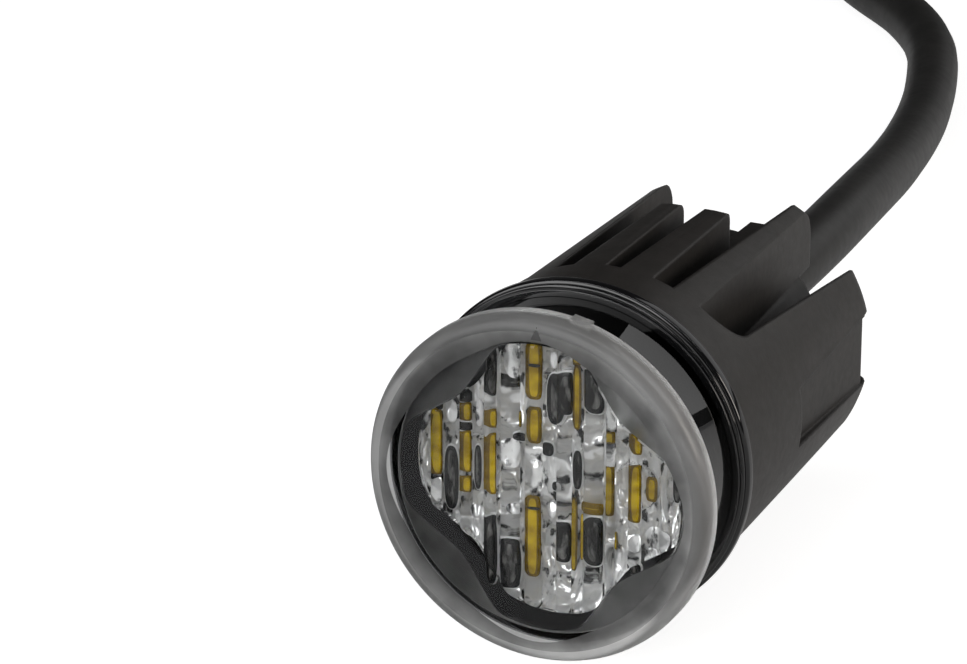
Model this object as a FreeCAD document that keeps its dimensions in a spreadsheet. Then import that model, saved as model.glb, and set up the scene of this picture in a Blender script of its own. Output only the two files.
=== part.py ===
import FreeCAD, Part
import math
import os
import Sketcher

# Round LED strobe beacon: clear lens, four-emitter light engine, finned heatsink and a lead.
# The lens faces -Y and the lead leaves along +Y. The origin is on the lamp's axis,
# at the rear face of the lens flange, which bears on the panel.

V = FreeCAD.Vector
doc = FreeCAD.newDocument("strobe_beacon")
sheet = doc.addObject("Spreadsheet::Sheet", "dims")

# Driving dimensions, millimetres and degrees
DIMS = {
    # lens
    "flange_r": 23.0, "flange_lip": 2.0, "flange_thick": 4.0, "flange_front_round": 1.8,
    "flange_rear_bevel": 0.5, "lens_wall": 2.2, "skirt_wall": 1.5, "window_depth": 0.3, "window_margin": 0.3,
    "window_notch": 4.1, "window_arm": 3.5, "window_corner": 2.5,
    # trim ring in front of the heatsink
    "ring_wide": 1.7, "ring_len": 2.8, "ring_ridge": 0.4, "ring_land": 0.5, "ring_gap": 0.2,
    # heatsink
    "seat_y": 12.0, "spigot_len": 2.5, "collar_step": 1.2, "collar_len": 0.9, "band_step": 0.6,
    "band_len": 8.0, "tail_taper": 1.0, "rear_round": 3.5, "fin_overhang": 3.8, "core_wall": 3.4,
    "slot_draft": 1.5, "mid_slot": 2.1, "inner_fin": 2.3, "side_slot": 4.8, "outer_fin": 1.5,
    "plate_wall": 2.1, "corner_round": 4.0, "web_half": 5.0, "short_fin": 14.0, "recess_len": 29.0,
    "recess_deep": 0.8, "recess_half": 4.1, "recess_rear_half": 5.0, "wire_hole_r": 4.0, "tap_floor": 0.5,
    # light engine
    "board_gap": 0.7, "board_thick": 1.6, "pad_margin": 0.8, "pad_thick": 0.5,
    "led_edge": 8.6, "led_size": 5.0, "led_thick": 0.7, "phosphor_size": 3.2, "phosphor_thick": 0.25,
    "screw_edge": 4.2, "screw_r": 1.25, "screw_head_r": 2.2, "screw_head": 1.5, "screw_len": 5.5,
    "resistor_len": 2.0, "resistor_wide": 1.25, "resistor_high": 0.5, "resistor_deg": 20.0,
    # optic
    "optic_gap": 0.5, "optic_inset": 0.3, "optic_plate": 2.6, "rib_high": 0.55,
    "bowl_margin": 1.0, "bowl_gap": 0.95, "bowl_rear_r": 3.9, "cup_r": 3.0, "cup_floor": 1.6,
    "leg_r": 1.2, "leg_edge": 4.9,
    # seal
    "seal_wire": 1.1, "groove_wide": 1.5,
    # driver in the core
    "driver_len": 24.0, "driver_thick": 1.2, "driver_gap": 0.5, "bore_gap": 0.21, "part_gap": 0.75,
    "drum_r": 4.0, "drum_high": 5.0, "drum_gap": 1.8, "cap_r": 3.0, "cap_len": 10.0, "cap_gap": 0.4,
    "chip_len": 6.0, "chip_wide": 5.0, "chip_high": 1.5, "chip_spread": 3.5, "chip_at": 3.6,
    "lone_chip_at": 13.2, "wire_r": 0.6, "led_wire_spread": 2.0, "supply_wire_spread": 1.5, "wire_lap": 5.0,
    # rear closing and lead
    "stub_gap": 5.0, "stub_bare": 2.0, "potting_len": 9.4, "potting_inset": 0.8,
    "gland_seat": 4.4, "gland_wall": 2.9, "gland_lip": 1.0, "gland_step": 1.5, "gland_len": 12.8,
    "cord_d": 8.6, "coil_mid_r": 49.0, "coil_in_r": 38.0, "coil_bevel": 2.6, "tie_wide": 4.0,
    "tie_thick": 1.0, "lead_r": 1.2, "lead_len": 26.0, "strand_r": 0.7, "strand_len": 6.0, "lead_gap": 2.9,
    # clearance of pieces that slide together, and how far a cutting shape runs past the material
    "fit": 0.05, "overcut": 5.0,
}

# Upright ribs on the optic's front: the middle and the width of each, left to right
RIBS = [(-14.95, 1.65), (-10.9, 1.6), (-7.5, 1.7), (-1.65, 2.3), (2.55, 1.9), (6.55, 2.4), (9.2, 1.2),
        (12.05, 1.5), (16.3, 1.4)]
for number, (middle, wide) in enumerate(RIBS, start=1):
    DIMS["rib_%d_at" % number] = middle
    DIMS["rib_%d_wide" % number] = wide

for row, (alias, value) in enumerate(DIMS.items(), start=1):
    sheet.set("A%d" % row, alias)
    sheet.set("B%d" % row, str(value))
    sheet.setAlias("B%d" % row, alias)
doc.recompute()

# Sizes and places that follow from the driving dimensions
DERIVED = {
    # planes along the axis, front to rear
    "face_y": "-dims.flange_thick",
    "wall_rear": "dims.lens_wall - dims.flange_thick",
    "optic_front": "wall_rear + dims.optic_gap",
    "optic_rear": "optic_front + dims.optic_plate",
    "spigot_y": "dims.seat_y - dims.spigot_len",
    "board_rear": "spigot_y - dims.pad_thick",
    "board_front": "board_rear - dims.board_thick",
    "led_front": "board_front - dims.led_thick",
    "phosphor_front": "led_front - dims.phosphor_thick",
    "bowl_len": "phosphor_front - dims.bowl_gap - optic_rear",
    "ring_front": "dims.seat_y - dims.ring_len",
    "groove_y": "(spigot_y + dims.seat_y - dims.groove_wide) / 2",
    "slot_front": "dims.seat_y + dims.band_len",
    "cavity_front": "spigot_y + dims.screw_len + dims.tap_floor",
    "driver_front": "cavity_front + dims.driver_gap",
    "driver_rear": "driver_front + dims.driver_len",
    "supply_front": "driver_rear - dims.wire_lap",
    "stub_front": "driver_rear + dims.stub_gap",
    "potting_front": "stub_front + dims.stub_bare",
    "potting_rear": "potting_front + dims.potting_len",
    "gland_front": "potting_rear - dims.gland_seat",
    "core_rear": "potting_rear + dims.potting_inset",
    "gland_tip": "core_rear + dims.gland_len",
    "rear_y": "core_rear + dims.fin_overhang",
    "mid_fin_rear": "rear_y - dims.short_fin",
    "recess_front": "rear_y - dims.recess_len",
    # radii about the axis
    "skirt_r": "dims.flange_r - dims.flange_lip",
    "skirt_in": "skirt_r - dims.skirt_wall",
    "window_r": "skirt_in - dims.window_margin",
    "window_notch_r": "window_r - dims.window_notch",
    "ring_r": "skirt_r + dims.ring_wide",
    "collar_r": "skirt_r + dims.collar_step",
    "band_r": "collar_r - dims.band_step",
    "tail_r": "band_r - dims.tail_taper",
    "spigot_r": "skirt_in - dims.fit",
    "board_r": "skirt_in - dims.board_gap",
    "pad_r": "board_r - dims.pad_margin",
    "screw_pitch_r": "board_r - dims.screw_edge",
    "led_pitch_r": "window_r - dims.led_edge",
    "bowl_r": "skirt_in - led_pitch_r - dims.bowl_margin",
    "leg_pitch_r": "window_notch_r - dims.leg_edge",
    "drum_reach": "2 * dims.drum_r + dims.part_gap",
    "drum_top": "dims.drum_high + dims.driver_thick / 2",
    "cavity_r": "sqrt(drum_reach ^ 2 + drum_top ^ 2) + dims.bore_gap",
    "core_r": "cavity_r + dims.core_wall",
    "cord_r": "dims.cord_d / 2",
    "gland_r": "cord_r + dims.gland_wall",
    "gland_tip_r": "cord_r + dims.gland_lip",
    # fins and pockets across the body, measured at its rear
    "side_slot_in": "dims.mid_slot + dims.inner_fin",
    "side_slot_out": "side_slot_in + dims.side_slot",
    "corner_in": "side_slot_out + dims.outer_fin",
    "recess_floor": "tail_r - dims.recess_deep",
    "corner_out": "recess_floor - dims.plate_wall",
    "corner_front_wide": "corner_out - corner_in - 2 * (rear_y - slot_front) * tan(dims.slot_draft)",
}
derived = doc.addObject("App::VarSet", "derived")
for name, expression in DERIVED.items():
    derived.addProperty("App::PropertyFloat", name, "Sizes")
    derived.setExpression(name, expression)
doc.recompute()


def d(name):
    """The value of a driving or derived size."""
    return getattr(derived, name) if name in DERIVED else float(sheet.get(name))


ROOT_HALF = "* 0.70710678"
SEED_R = 9.0       # an outline's size before its corners are driven
NEAR = 0.01        # edges and planes closer than this are the same
LEAST_CUT = 0.01   # a pocket has to take away more than this
ROUND_SHARE = 0.9  # a corner's round takes at most this much of its wall
PARTS = []


def keep(obj, node):
    """Give a finished sub-part the name of its node."""
    obj.Label = node
    PARTS.append(obj)
    return obj


def bind(obj, **sizes):
    """Tie properties to expressions over the sheet; a double underscore stands for a dot."""
    for name, expression in sizes.items():
        obj.setExpression(name.replace("__", "."), expression)
    return obj


def along_y(obj, start, x="0", z="0"):
    """Turn a primitive's own axis to +Y and set its start on that axis."""
    obj.Placement = FreeCAD.Placement(V(0, 0, 0), FreeCAD.Rotation(V(1, 0, 0), -90))
    return bind(obj, Placement__Base__x=x, Placement__Base__y=start, Placement__Base__z=z)


def cylinder(name, radius, length, start, x="0", z="0"):
    obj = doc.addObject("Part::Cylinder", name)
    bind(obj, Radius=radius, Height=length)
    return along_y(obj, start, x, z)


def block(name, length_x, length_y, length_z, x, y, z):
    """A box given by its sizes and the middle of its lowest-Y face."""
    obj = doc.addObject("Part::Box", name)
    bind(obj, Length=length_x, Width=length_y, Height=length_z)
    return bind(obj, Placement__Base__x="%s - (%s) / 2" % (x, length_x), Placement__Base__y=y,
                Placement__Base__z="%s - (%s) / 2" % (z, length_z))


def cut(name, base, tool):
    obj = doc.addObject("Part::Cut", name)
    obj.Base = base
    obj.Tool = tool
    return obj


def fuse(name, shapes):
    obj = doc.addObject("Part::MultiFuse", name)
    obj.Shapes = shapes
    return obj


def group(name, shapes):
    """Separate solids that share one node."""
    obj = doc.addObject("Part::Compound", name)
    obj.Links = shapes
    return obj


def origin_plane(body, role):
    return next(f for f in body.Origin.OriginFeatures if f.Role == role)


def sketch_on(body, name, role, offset=None):
    """A sketch on one of the body's own origin planes, shifted along the plane's normal."""
    sketch = body.newObject("Sketcher::SketchObject", name)
    sketch.AttachmentSupport = [(origin_plane(body, role), "")]
    sketch.MapMode = "FlatFace"
    if offset is not None:
        sketch.setExpression("AttachmentOffset.Base.z", offset)
    return sketch


def polygon(sketch, corners):
    """A closed outline; each corner is a pair of expressions over the sheet."""
    first = sketch.GeometryCount
    count = len(corners)
    for i in range(count):
        a = 2 * math.pi * i / count
        b = 2 * math.pi * (i + 1) / count
        start = V(SEED_R * math.cos(a), SEED_R * math.sin(a), 0)
        end = V(SEED_R * math.cos(b), SEED_R * math.sin(b), 0)
        sketch.addGeometry(Part.LineSegment(start, end), False)
    for i in range(count):
        sketch.addConstraint(Sketcher.Constraint("Coincident", first + i, 2, first + (i + 1) % count, 1))
    for i, corner in enumerate(corners):
        for kind, expression in zip(("DistanceX", "DistanceY"), corner):
            index = sketch.addConstraint(Sketcher.Constraint(kind, -1, 1, first + i, 1, 1.0))
            sketch.setExpression("Constraints[%d]" % index, expression)


def circle(sketch, radius, x, y):
    index = sketch.addGeometry(Part.Circle(V(1, 1, 0), V(0, 0, 1), 1.0), False)
    sizes = [(sketch.addConstraint(Sketcher.Constraint("Radius", index, 1.0)), radius),
             (sketch.addConstraint(Sketcher.Constraint("DistanceX", -1, 1, index, 3, 1.0)), x),
             (sketch.addConstraint(Sketcher.Constraint("DistanceY", -1, 1, index, 3, 1.0)), y)]
    for number, expression in sizes:
        sketch.setExpression("Constraints[%d]" % number, expression)


def turned(body, name, corners, cuts=False):
    """A profile of (radius, y) corners turned about the lamp's axis, added or cut away."""
    sketch = sketch_on(body, name + "_sketch", "XY_Plane")
    polygon(sketch, corners)
    feature = body.newObject("PartDesign::Groove" if cuts else "PartDesign::Revolution", name)
    feature.Profile = sketch
    feature.ReferenceAxis = (sketch, ["V_Axis"])
    feature.Angle = 360
    doc.recompute()
    return feature


def pocket(body, name, sketch, length, toward_sketch_normal, taper=None):
    """A pocket that has to take material away."""
    before = body.Shape.Volume
    feature = body.newObject("PartDesign::Pocket", name)
    feature.Profile = sketch
    feature.Reversed = toward_sketch_normal
    feature.setExpression("Length", length)
    if taper:
        feature.setExpression("TaperAngle", taper)
    doc.recompute()
    if not body.Shape.Volume < before - LEAST_CUT:
        raise RuntimeError("pocket %s cuts nothing" % name)
    return feature


def new_body(name):
    return doc.addObject("PartDesign::Body", name)


def quarter_turns(pitch, first_deg):
    """Four places at a pitch radius about the axis, as (x, z) expressions."""
    return [("%s * cos(%g)" % (pitch, first_deg + 90 * i), "%s * sin(%g)" % (pitch, first_deg + 90 * i))
            for i in range(4)]


def cross_prism(name, rear_y, length, inset):
    """The four-armed window outline as a prism; the arms end on a circle about the axis."""
    body = new_body(name)
    sketch = sketch_on(body, name + "_sketch", "XZ_Plane", "-(%s)" % rear_y)
    notch = "(derived.window_notch_r - %s) %s" % (inset, ROOT_HALF)
    reach = "(derived.window_r + dims.overcut)"
    arm = "(dims.window_arm - %s)" % inset
    corners = []
    for sx, sz in ((1, 1), (-1, 1), (-1, -1), (1, -1)):
        along = ("%d * %s" % (sx, reach), "%d * %s" % (sz, arm))
        across = ("%d * %s" % (sx, arm), "%d * %s" % (sz, reach))
        middle = ("%d * %s" % (sx, notch), "%d * %s" % (sz, notch))
        corners += [along, middle, across] if sx * sz > 0 else [across, middle, along]
    polygon(sketch, corners)
    pad = body.newObject("PartDesign::Pad", name + "_pad")
    pad.Profile = sketch
    pad.setExpression("Length", length)
    doc.recompute()
    disc = cylinder(name + "_disc", "derived.window_r - %s" % inset, length, "%s - (%s)" % (rear_y, length))
    both = doc.addObject("Part::Common", name + "_common")
    both.Base = body
    both.Tool = disc
    doc.recompute()
    return both


def rounded(name, base, radius, chosen):
    """Round the edges that the test picks by their middle point and direction."""
    obj = doc.addObject("Part::Fillet", name)
    obj.Base = base
    doc.recompute()
    picked = []
    for number, edge in enumerate(base.Shape.Edges, start=1):
        if chosen(edge):
            picked.append((number, radius, radius))
    if not picked:
        raise RuntimeError("%s finds no edge" % name)
    obj.Edges = picked
    doc.recompute()
    return obj


def runs_along_y(edge):
    if edge.Curve.TypeId != "Part::GeomLine":
        return False
    return abs(edge.tangentAt(edge.FirstParameter).y) > 0.99


def on_circle(edge, radius, y):
    if edge.Curve.TypeId != "Part::GeomCircle":
        return False
    return abs(edge.Curve.Radius - radius) < NEAR and abs(edge.Curve.Center.y - y) < NEAR


def body_fillet(body, name, radius, chosen):
    """Round chosen edges of a body's own shape."""
    base = body.Tip
    names = ["Edge%d" % n for n, e in enumerate(base.Shape.Edges, start=1) if chosen(e)]
    if not names:
        raise RuntimeError("%s finds no edge" % name)
    feature = body.newObject("PartDesign::Fillet", name)
    feature.Base = (base, names)
    feature.setExpression("Radius", radius)
    doc.recompute()
    return feature


def corner_front(edge):
    """An upright edge where a corner pocket's outer wall meets its front."""
    if edge.Curve.TypeId != "Part::GeomLine":
        return False
    middle = edge.valueAt((edge.FirstParameter + edge.LastParameter) / 2)
    upright = abs(edge.tangentAt(edge.FirstParameter).z) > 0.99
    outer = abs(middle.x) > (d("corner_in") + d("corner_out")) / 2
    return upright and outer and abs(middle.y - d("slot_front")) < NEAR


# Lens: flange, front wall and skirt moulded in one, with a shallow clear window inside the front wall
lens_body = new_body("lens_body")
turned(lens_body, "lens_shell", [
    ("0", "derived.face_y"), ("dims.flange_r", "derived.face_y"),
    ("dims.flange_r", "-dims.flange_rear_bevel"), ("dims.flange_r - dims.flange_rear_bevel", "0"),
    ("derived.skirt_r", "0"), ("derived.skirt_r", "dims.seat_y"), ("derived.skirt_in", "dims.seat_y"),
    ("derived.skirt_in", "derived.wall_rear"), ("0", "derived.wall_rear")])
body_fillet(lens_body, "flange_front_edge", "dims.flange_front_round",
            lambda e: on_circle(e, d("flange_r"), -d("flange_thick")))
window = rounded("window_tool", cross_prism("window", "derived.wall_rear", "dims.window_depth", "0"),
                 d("window_corner"), runs_along_y)
keep(cut("lens_cut", lens_body, window), "lens")

# Trim ring: three fine ridges stepping out to the full diameter
ring_body = new_body("ring_body")
ring_bore = "derived.skirt_r + dims.fit"
ring_corners = [(ring_bore, "dims.seat_y"), (ring_bore, "derived.ring_front")]
for step in range(3):
    rim = "derived.ring_r - %d * dims.ring_ridge" % (2 - step)
    start = "derived.ring_front + %d * (dims.ring_land + dims.ring_gap)" % step
    ring_corners += [(rim, start)]
    if step < 2:
        valley = "derived.ring_r - %d * dims.ring_ridge - dims.ring_gap" % (2 - step)
        ring_corners += [(rim, start + " + dims.ring_land"),
                         (valley, start + " + dims.ring_land + dims.ring_gap / 2")]
ring_corners += [("derived.ring_r", "dims.seat_y")]
turned(ring_body, "ring_turn", ring_corners)
keep(ring_body, "trim_ring")

# Heatsink: tapered fins around a round core, with a spigot in front that carries the light engine
sink = new_body("sink_body")
turned(sink, "fin_envelope", [
    ("0", "derived.spigot_y"), ("derived.spigot_r", "derived.spigot_y"), ("derived.spigot_r", "dims.seat_y"),
    ("derived.collar_r", "dims.seat_y"), ("derived.collar_r", "dims.seat_y + dims.collar_len"),
    ("derived.band_r", "dims.seat_y + dims.collar_len + (derived.collar_r - derived.band_r)"),
    ("derived.band_r", "derived.slot_front"), ("derived.tail_r", "derived.rear_y"), ("0", "derived.rear_y")])
body_fillet(sink, "rear_edge", "dims.rear_round", lambda e: on_circle(e, d("tail_r"), d("rear_y")))

BEYOND = "(dims.flange_r + dims.overcut)"
slots = sketch_on(sink, "slot_sketch", "XZ_Plane", "-derived.rear_y")
straight = [("-dims.mid_slot", "dims.mid_slot"), ("derived.side_slot_in", "derived.side_slot_out"),
            ("-derived.side_slot_out", "-derived.side_slot_in")]
for left, right in straight:
    polygon(slots, [(left, "-" + BEYOND), (right, "-" + BEYOND), (right, BEYOND), (left, BEYOND)])
for sx in (1, -1):
    for sz in (1, -1):
        inner = "%d * derived.corner_in" % sx
        outer = "%d * derived.corner_out" % sx
        floor = "%d * dims.web_half" % sz
        top = "%d * %s" % (sz, BEYOND)
        polygon(slots, [(inner, floor), (outer, floor), (outer, top), (inner, top)])
pocket(sink, "fin_slots", slots, "derived.rear_y - derived.slot_front", True, "-dims.slot_draft")
body_fillet(sink, "corner_rounds", "min(dims.corner_round; %g * derived.corner_front_wide)" % ROUND_SHARE,
            corner_front)
turned(sink, "core", [
    ("0", "dims.seat_y"), ("derived.core_r", "dims.seat_y"), ("derived.core_r", "derived.core_rear"),
    ("0", "derived.core_rear")])
turned(sink, "rear_hollow", [
    ("0", "derived.core_rear"), ("derived.core_r", "derived.core_rear"), ("derived.core_r", "derived.rear_y"),
    ("0", "derived.rear_y")], cuts=True)
shortened = sketch_on(sink, "short_fin_sketch", "XZ_Plane", "-derived.rear_y")
for sz in (1, -1):
    low = "%d * derived.core_r" % sz
    high = "%d * %s" % (sz, BEYOND)
    middle_of_slot = "(derived.side_slot_in + derived.side_slot_out) / 2"
    polygon(shortened, [("-" + middle_of_slot, low), (middle_of_slot, low), (middle_of_slot, high),
                        ("-" + middle_of_slot, high)])
web_end = sketch_on(sink, "web_end_sketch", "XZ_Plane", "-derived.rear_y")
polygon(web_end, [("-" + BEYOND, "-dims.web_half"), (BEYOND, "-dims.web_half"), (BEYOND, "dims.web_half"),
                  ("-" + BEYOND, "dims.web_half")])
pocket(sink, "short_fins", shortened, "derived.rear_y - derived.mid_fin_rear", True)
pocket(sink, "web_end", web_end, "derived.rear_y - derived.core_rear", True)
for side, reverse in (("right", True), ("left", False)):
    sign = 1 if side == "right" else -1
    recess = sketch_on(sink, side + "_recess_sketch", "YZ_Plane", "%d * derived.recess_floor" % sign)
    polygon(recess, [
        ("derived.recess_front", "-dims.recess_half"), ("derived.rear_y", "-dims.recess_rear_half"),
        ("derived.rear_y", "dims.recess_rear_half"), ("derived.recess_front", "dims.recess_half")])
    pocket(sink, side + "_recess", recess, "dims.flange_r", reverse)
turned(sink, "cavity", [
    ("0", "derived.cavity_front"), ("derived.cavity_r", "derived.cavity_front"),
    ("derived.cavity_r", "derived.core_rear"), ("0", "derived.core_rear")], cuts=True)
turned(sink, "wire_hole", [
    ("0", "derived.spigot_y"), ("dims.wire_hole_r", "derived.spigot_y"),
    ("dims.wire_hole_r", "derived.cavity_front"), ("0", "derived.cavity_front")], cuts=True)
GROOVE_FLOOR = "derived.spigot_r - dims.seal_wire"
GROOVE_REAR = "derived.groove_y + dims.groove_wide"
turned(sink, "seal_groove", [
    (GROOVE_FLOOR, "derived.groove_y"), ("derived.spigot_r + dims.overcut", "derived.groove_y"),
    ("derived.spigot_r + dims.overcut", GROOVE_REAR), (GROOVE_FLOOR, GROOVE_REAR)], cuts=True)
SCREW_PLACES = quarter_turns("derived.screw_pitch_r", 45)
taps = sketch_on(sink, "tap_sketch", "XZ_Plane", "-derived.spigot_y")
for x, z in SCREW_PLACES:
    circle(taps, "dims.screw_r + dims.fit / 2", x, z)
pocket(sink, "tapped_holes", taps, "dims.screw_len", False)
keep(sink, "heatsink")

# Seal: a square-cut rubber ring between the spigot's groove and the skirt
seal_body = new_body("seal_body")
SEAL_FRONT = "derived.groove_y + (dims.groove_wide - dims.seal_wire) / 2"
SEAL_IN = GROOVE_FLOOR + " + dims.fit / 2"
SEAL_OUT = "derived.skirt_in - dims.fit / 2"
turned(seal_body, "seal_turn", [
    (SEAL_IN, SEAL_FRONT), (SEAL_OUT, SEAL_FRONT), (SEAL_OUT, SEAL_FRONT + " + dims.seal_wire"),
    (SEAL_IN, SEAL_FRONT + " + dims.seal_wire")])
keep(seal_body, "seal_ring")


def screw_holes(name, start, length):
    return [cylinder("%s_%d" % (name, i), "dims.screw_r + dims.fit", length, start, x, z)
            for i, (x, z) in enumerate(SCREW_PLACES)]


# Thermal pad and LED board, drilled alike
pad_disc = cylinder("pad_disc", "derived.pad_r", "dims.pad_thick", "derived.board_rear")
pad_holes = fuse("pad_holes", screw_holes("pad_hole", "derived.board_rear", "dims.pad_thick")
                 + [cylinder("pad_wire_hole", "dims.wire_hole_r", "dims.pad_thick", "derived.board_rear")])
keep(cut("pad_cut", pad_disc, pad_holes), "thermal_pad")
board_disc = cylinder("board_disc", "derived.board_r", "dims.board_thick", "derived.board_front")
board_holes = fuse("board_holes", screw_holes("board_hole", "derived.board_front", "dims.board_thick"))
keep(cut("board_cut", board_disc, board_holes), "led_board")

# Board screws: pan heads on the board, shanks in the heatsink's tapped holes
screws = []
for i, (x, z) in enumerate(SCREW_PLACES):
    head = cylinder("screw_head_%d" % i, "dims.screw_head_r", "dims.screw_head",
                    "derived.board_front - dims.screw_head", x, z)
    shank = cylinder("screw_shank_%d" % i, "dims.screw_r",
                     "dims.board_thick + dims.pad_thick + dims.screw_len - dims.fit",
                     "derived.board_front", x, z)
    screws.append(fuse("screw_%d" % i, [head, shank]))
keep(group("screws", screws), "board_screws")

# LED packages with their phosphor faces
LED_PLACES = quarter_turns("derived.led_pitch_r", 0)
keep(group("packages", [block("package_%d" % i, "dims.led_size", "dims.led_thick", "dims.led_size",
                              x, "derived.led_front", z)
                        for i, (x, z) in enumerate(LED_PLACES)]), "led_packages")
keep(group("phosphors", [block("phosphor_%d" % i, "dims.phosphor_size", "dims.phosphor_thick",
                               "dims.phosphor_size", x, "derived.phosphor_front", z)
                         for i, (x, z) in enumerate(LED_PLACES)]), "led_phosphors")

# Chip resistors on the board, in the gaps between the bowls
RESISTOR_R = "(derived.board_r - dims.resistor_len)"
resistor_places = []
for quarter in range(4):
    for side in (1, -1):
        deg = 90 * quarter + side * d("resistor_deg")
        resistor_places.append(("%s * cos(%g)" % (RESISTOR_R, deg), "%s * sin(%g)" % (RESISTOR_R, deg)))
keep(group("resistors", [block("resistor_%d" % i, "dims.resistor_wide", "dims.resistor_high",
                               "dims.resistor_len", x, "derived.board_front - dims.resistor_high", z)
                         for i, (x, z) in enumerate(resistor_places)]), "chip_resistors")


# Optic: a ribbed cross plate with four collimator bowls behind it
def ribbed_sheet():
    """A sheet whose front carries the upright, round-backed ribs."""
    front = d("optic_front")
    base = front + d("rib_high")
    half = d("window_r") + d("overcut")
    start = V(-half, base, 0)
    at = start
    edges = []
    for number in range(1, len(RIBS) + 1):
        middle = d("rib_%d_at" % number)
        left = V(middle - d("rib_%d_wide" % number) / 2, base, 0)
        right = V(middle + d("rib_%d_wide" % number) / 2, base, 0)
        edges.append(Part.LineSegment(at, left).toShape())
        edges.append(Part.Arc(left, V(middle, front, 0), right).toShape())
        at = right
    outline = [at, V(half, base, 0), V(half, d("optic_rear"), 0), V(-half, d("optic_rear"), 0), start]
    edges += [Part.LineSegment(a, b).toShape() for a, b in zip(outline, outline[1:])]
    face = Part.Face(Part.Wire(edges))
    face.translate(V(0, 0, -half))
    return face.extrude(V(0, 0, 2 * half))


ribs = doc.addObject("Part::Feature", "rib_sheet")
ribs.Shape = ribbed_sheet()
tall_plate = "dims.optic_plate + dims.optic_gap / 2"
prism = rounded("optic_outline", cross_prism("optic", "derived.optic_rear", tall_plate, "dims.optic_inset"),
                d("window_corner"), runs_along_y)
plate = doc.addObject("Part::Common", "optic_plate_common")
plate.Base = ribs
plate.Tool = prism
bowls = []
cups = []
for i, (x, z) in enumerate(LED_PLACES):
    cone = doc.addObject("Part::Cone", "bowl_%d" % i)
    bind(cone, Radius1="derived.bowl_r", Radius2="dims.bowl_rear_r", Height="derived.bowl_len")
    bowls.append(along_y(cone, "derived.optic_rear", x, z))
    cups.append(cylinder("cup_%d" % i, "dims.cup_r", "derived.bowl_len - dims.cup_floor + dims.overcut",
                         "derived.optic_rear + dims.cup_floor", x, z))
legs = [cylinder("leg_%d" % i, "dims.leg_r", "derived.board_front - derived.optic_rear",
                 "derived.optic_rear", x, z)
        for i, (x, z) in enumerate(quarter_turns("derived.leg_pitch_r", 45))]
doc.recompute()
solid_optic = fuse("optic_solid", [plate] + bowls + legs)
keep(cut("optic_cut", solid_optic, fuse("optic_cups", cups)), "collimator_optic")

# Driver board lying across the core's bore, with its parts on its upper face
BOARD_TOP = "dims.driver_thick / 2"
DRIVER_WIDE = "2 * sqrt(derived.cavity_r ^ 2 - dims.driver_thick ^ 2) - 4 * dims.fit"
keep(block("driver", DRIVER_WIDE, "dims.driver_len", "dims.driver_thick", "0", "derived.driver_front", "0"),
     "driver_board")
DRUM_Y = "derived.supply_front - dims.drum_gap - dims.drum_r"
inductor = doc.addObject("Part::Cylinder", "inductor_drum")
bind(inductor, Radius="dims.drum_r", Height="dims.drum_high",
     Placement__Base__x="-dims.drum_r - dims.part_gap", Placement__Base__y=DRUM_Y,
     Placement__Base__z=BOARD_TOP)
keep(inductor, "inductor")
CAP_Y = "derived.supply_front - dims.cap_gap - dims.cap_len"
keep(cylinder("capacitor_can", "dims.cap_r", "dims.cap_len", CAP_Y, "dims.cap_r + dims.part_gap",
              BOARD_TOP + " + dims.cap_r"), "capacitor")
CHIP_Z = "-dims.driver_thick / 2 - dims.chip_high / 2"
CHIP_PLACES = [("-dims.chip_spread", "dims.chip_at"), ("dims.chip_spread", "dims.chip_at"),
               ("0", "dims.lone_chip_at")]
keep(group("chips", [block("chip_%d" % i, "dims.chip_wide", "dims.chip_len", "dims.chip_high", x,
                           "derived.driver_front + " + along, CHIP_Z)
                     for i, (x, along) in enumerate(CHIP_PLACES)]), "driver_chips")

# Leads inside: light engine to driver, and driver to the cord
WIRE_Z = BOARD_TOP + " + dims.wire_r"
keep(group("led_wires", [cylinder("led_wire_%d" % i, "dims.wire_r",
                                  "derived.driver_front + dims.wire_lap - derived.board_rear",
                                  "derived.board_rear", "%d * dims.led_wire_spread" % side, WIRE_Z)
                         for i, side in enumerate((1, -1))]), "led_leads")
keep(group("supply_wires", [cylinder("supply_wire_%d" % i, "dims.wire_r",
                                     "derived.stub_front - derived.supply_front", "derived.supply_front",
                                     "%d * dims.supply_wire_spread" % side, WIRE_Z)
                            for i, side in enumerate((-1, 0, 1))]), "supply_leads")

# Rear closing: potting around the cord and a tapered rubber gland
stub = cylinder("cord_stub_rod", "derived.cord_r", "derived.gland_tip - derived.stub_front",
                "derived.stub_front")
keep(stub, "cord_stub")
gland_body = new_body("gland_body")
turned(gland_body, "gland_turn", [
    ("derived.cord_r", "derived.gland_front"), ("derived.gland_r", "derived.gland_front"),
    ("derived.gland_r", "derived.core_rear + dims.gland_step"),
    ("derived.gland_tip_r", "derived.gland_tip"), ("derived.cord_r", "derived.gland_tip")])
keep(gland_body, "cable_gland")
plug = cylinder("potting_disc", "derived.cavity_r", "dims.potting_len", "derived.potting_front")
gland_room = cylinder("gland_room", "derived.gland_r", "derived.gland_tip", "derived.gland_front")
keep(cut("potting_cut", plug, fuse("potting_bores", [stub, gland_room])), "potting_plug")

# Lead: hand-chosen route from the gland, sagging to the surface, then to the coil
FLOOR = -d("flange_r")
cord_r = d("cord_r")
on_floor = FLOOR + cord_r
coil_z = on_floor + d("tie_thick")
ROUTE = [
    (0.0, 70.0, 0.0), (0.0, 88.0, 0.0), (-4.0, 118.0, -3.2), (-13.0, 162.0, -11.8),
    (-24.5, 208.0, -18.6), (-37.0, 244.0, -18.7), (-63.0, 272.5, -18.4), (-85.0, 301.3, coil_z)]
COIL_CENTRE = (-46.0, 331.0)


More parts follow.
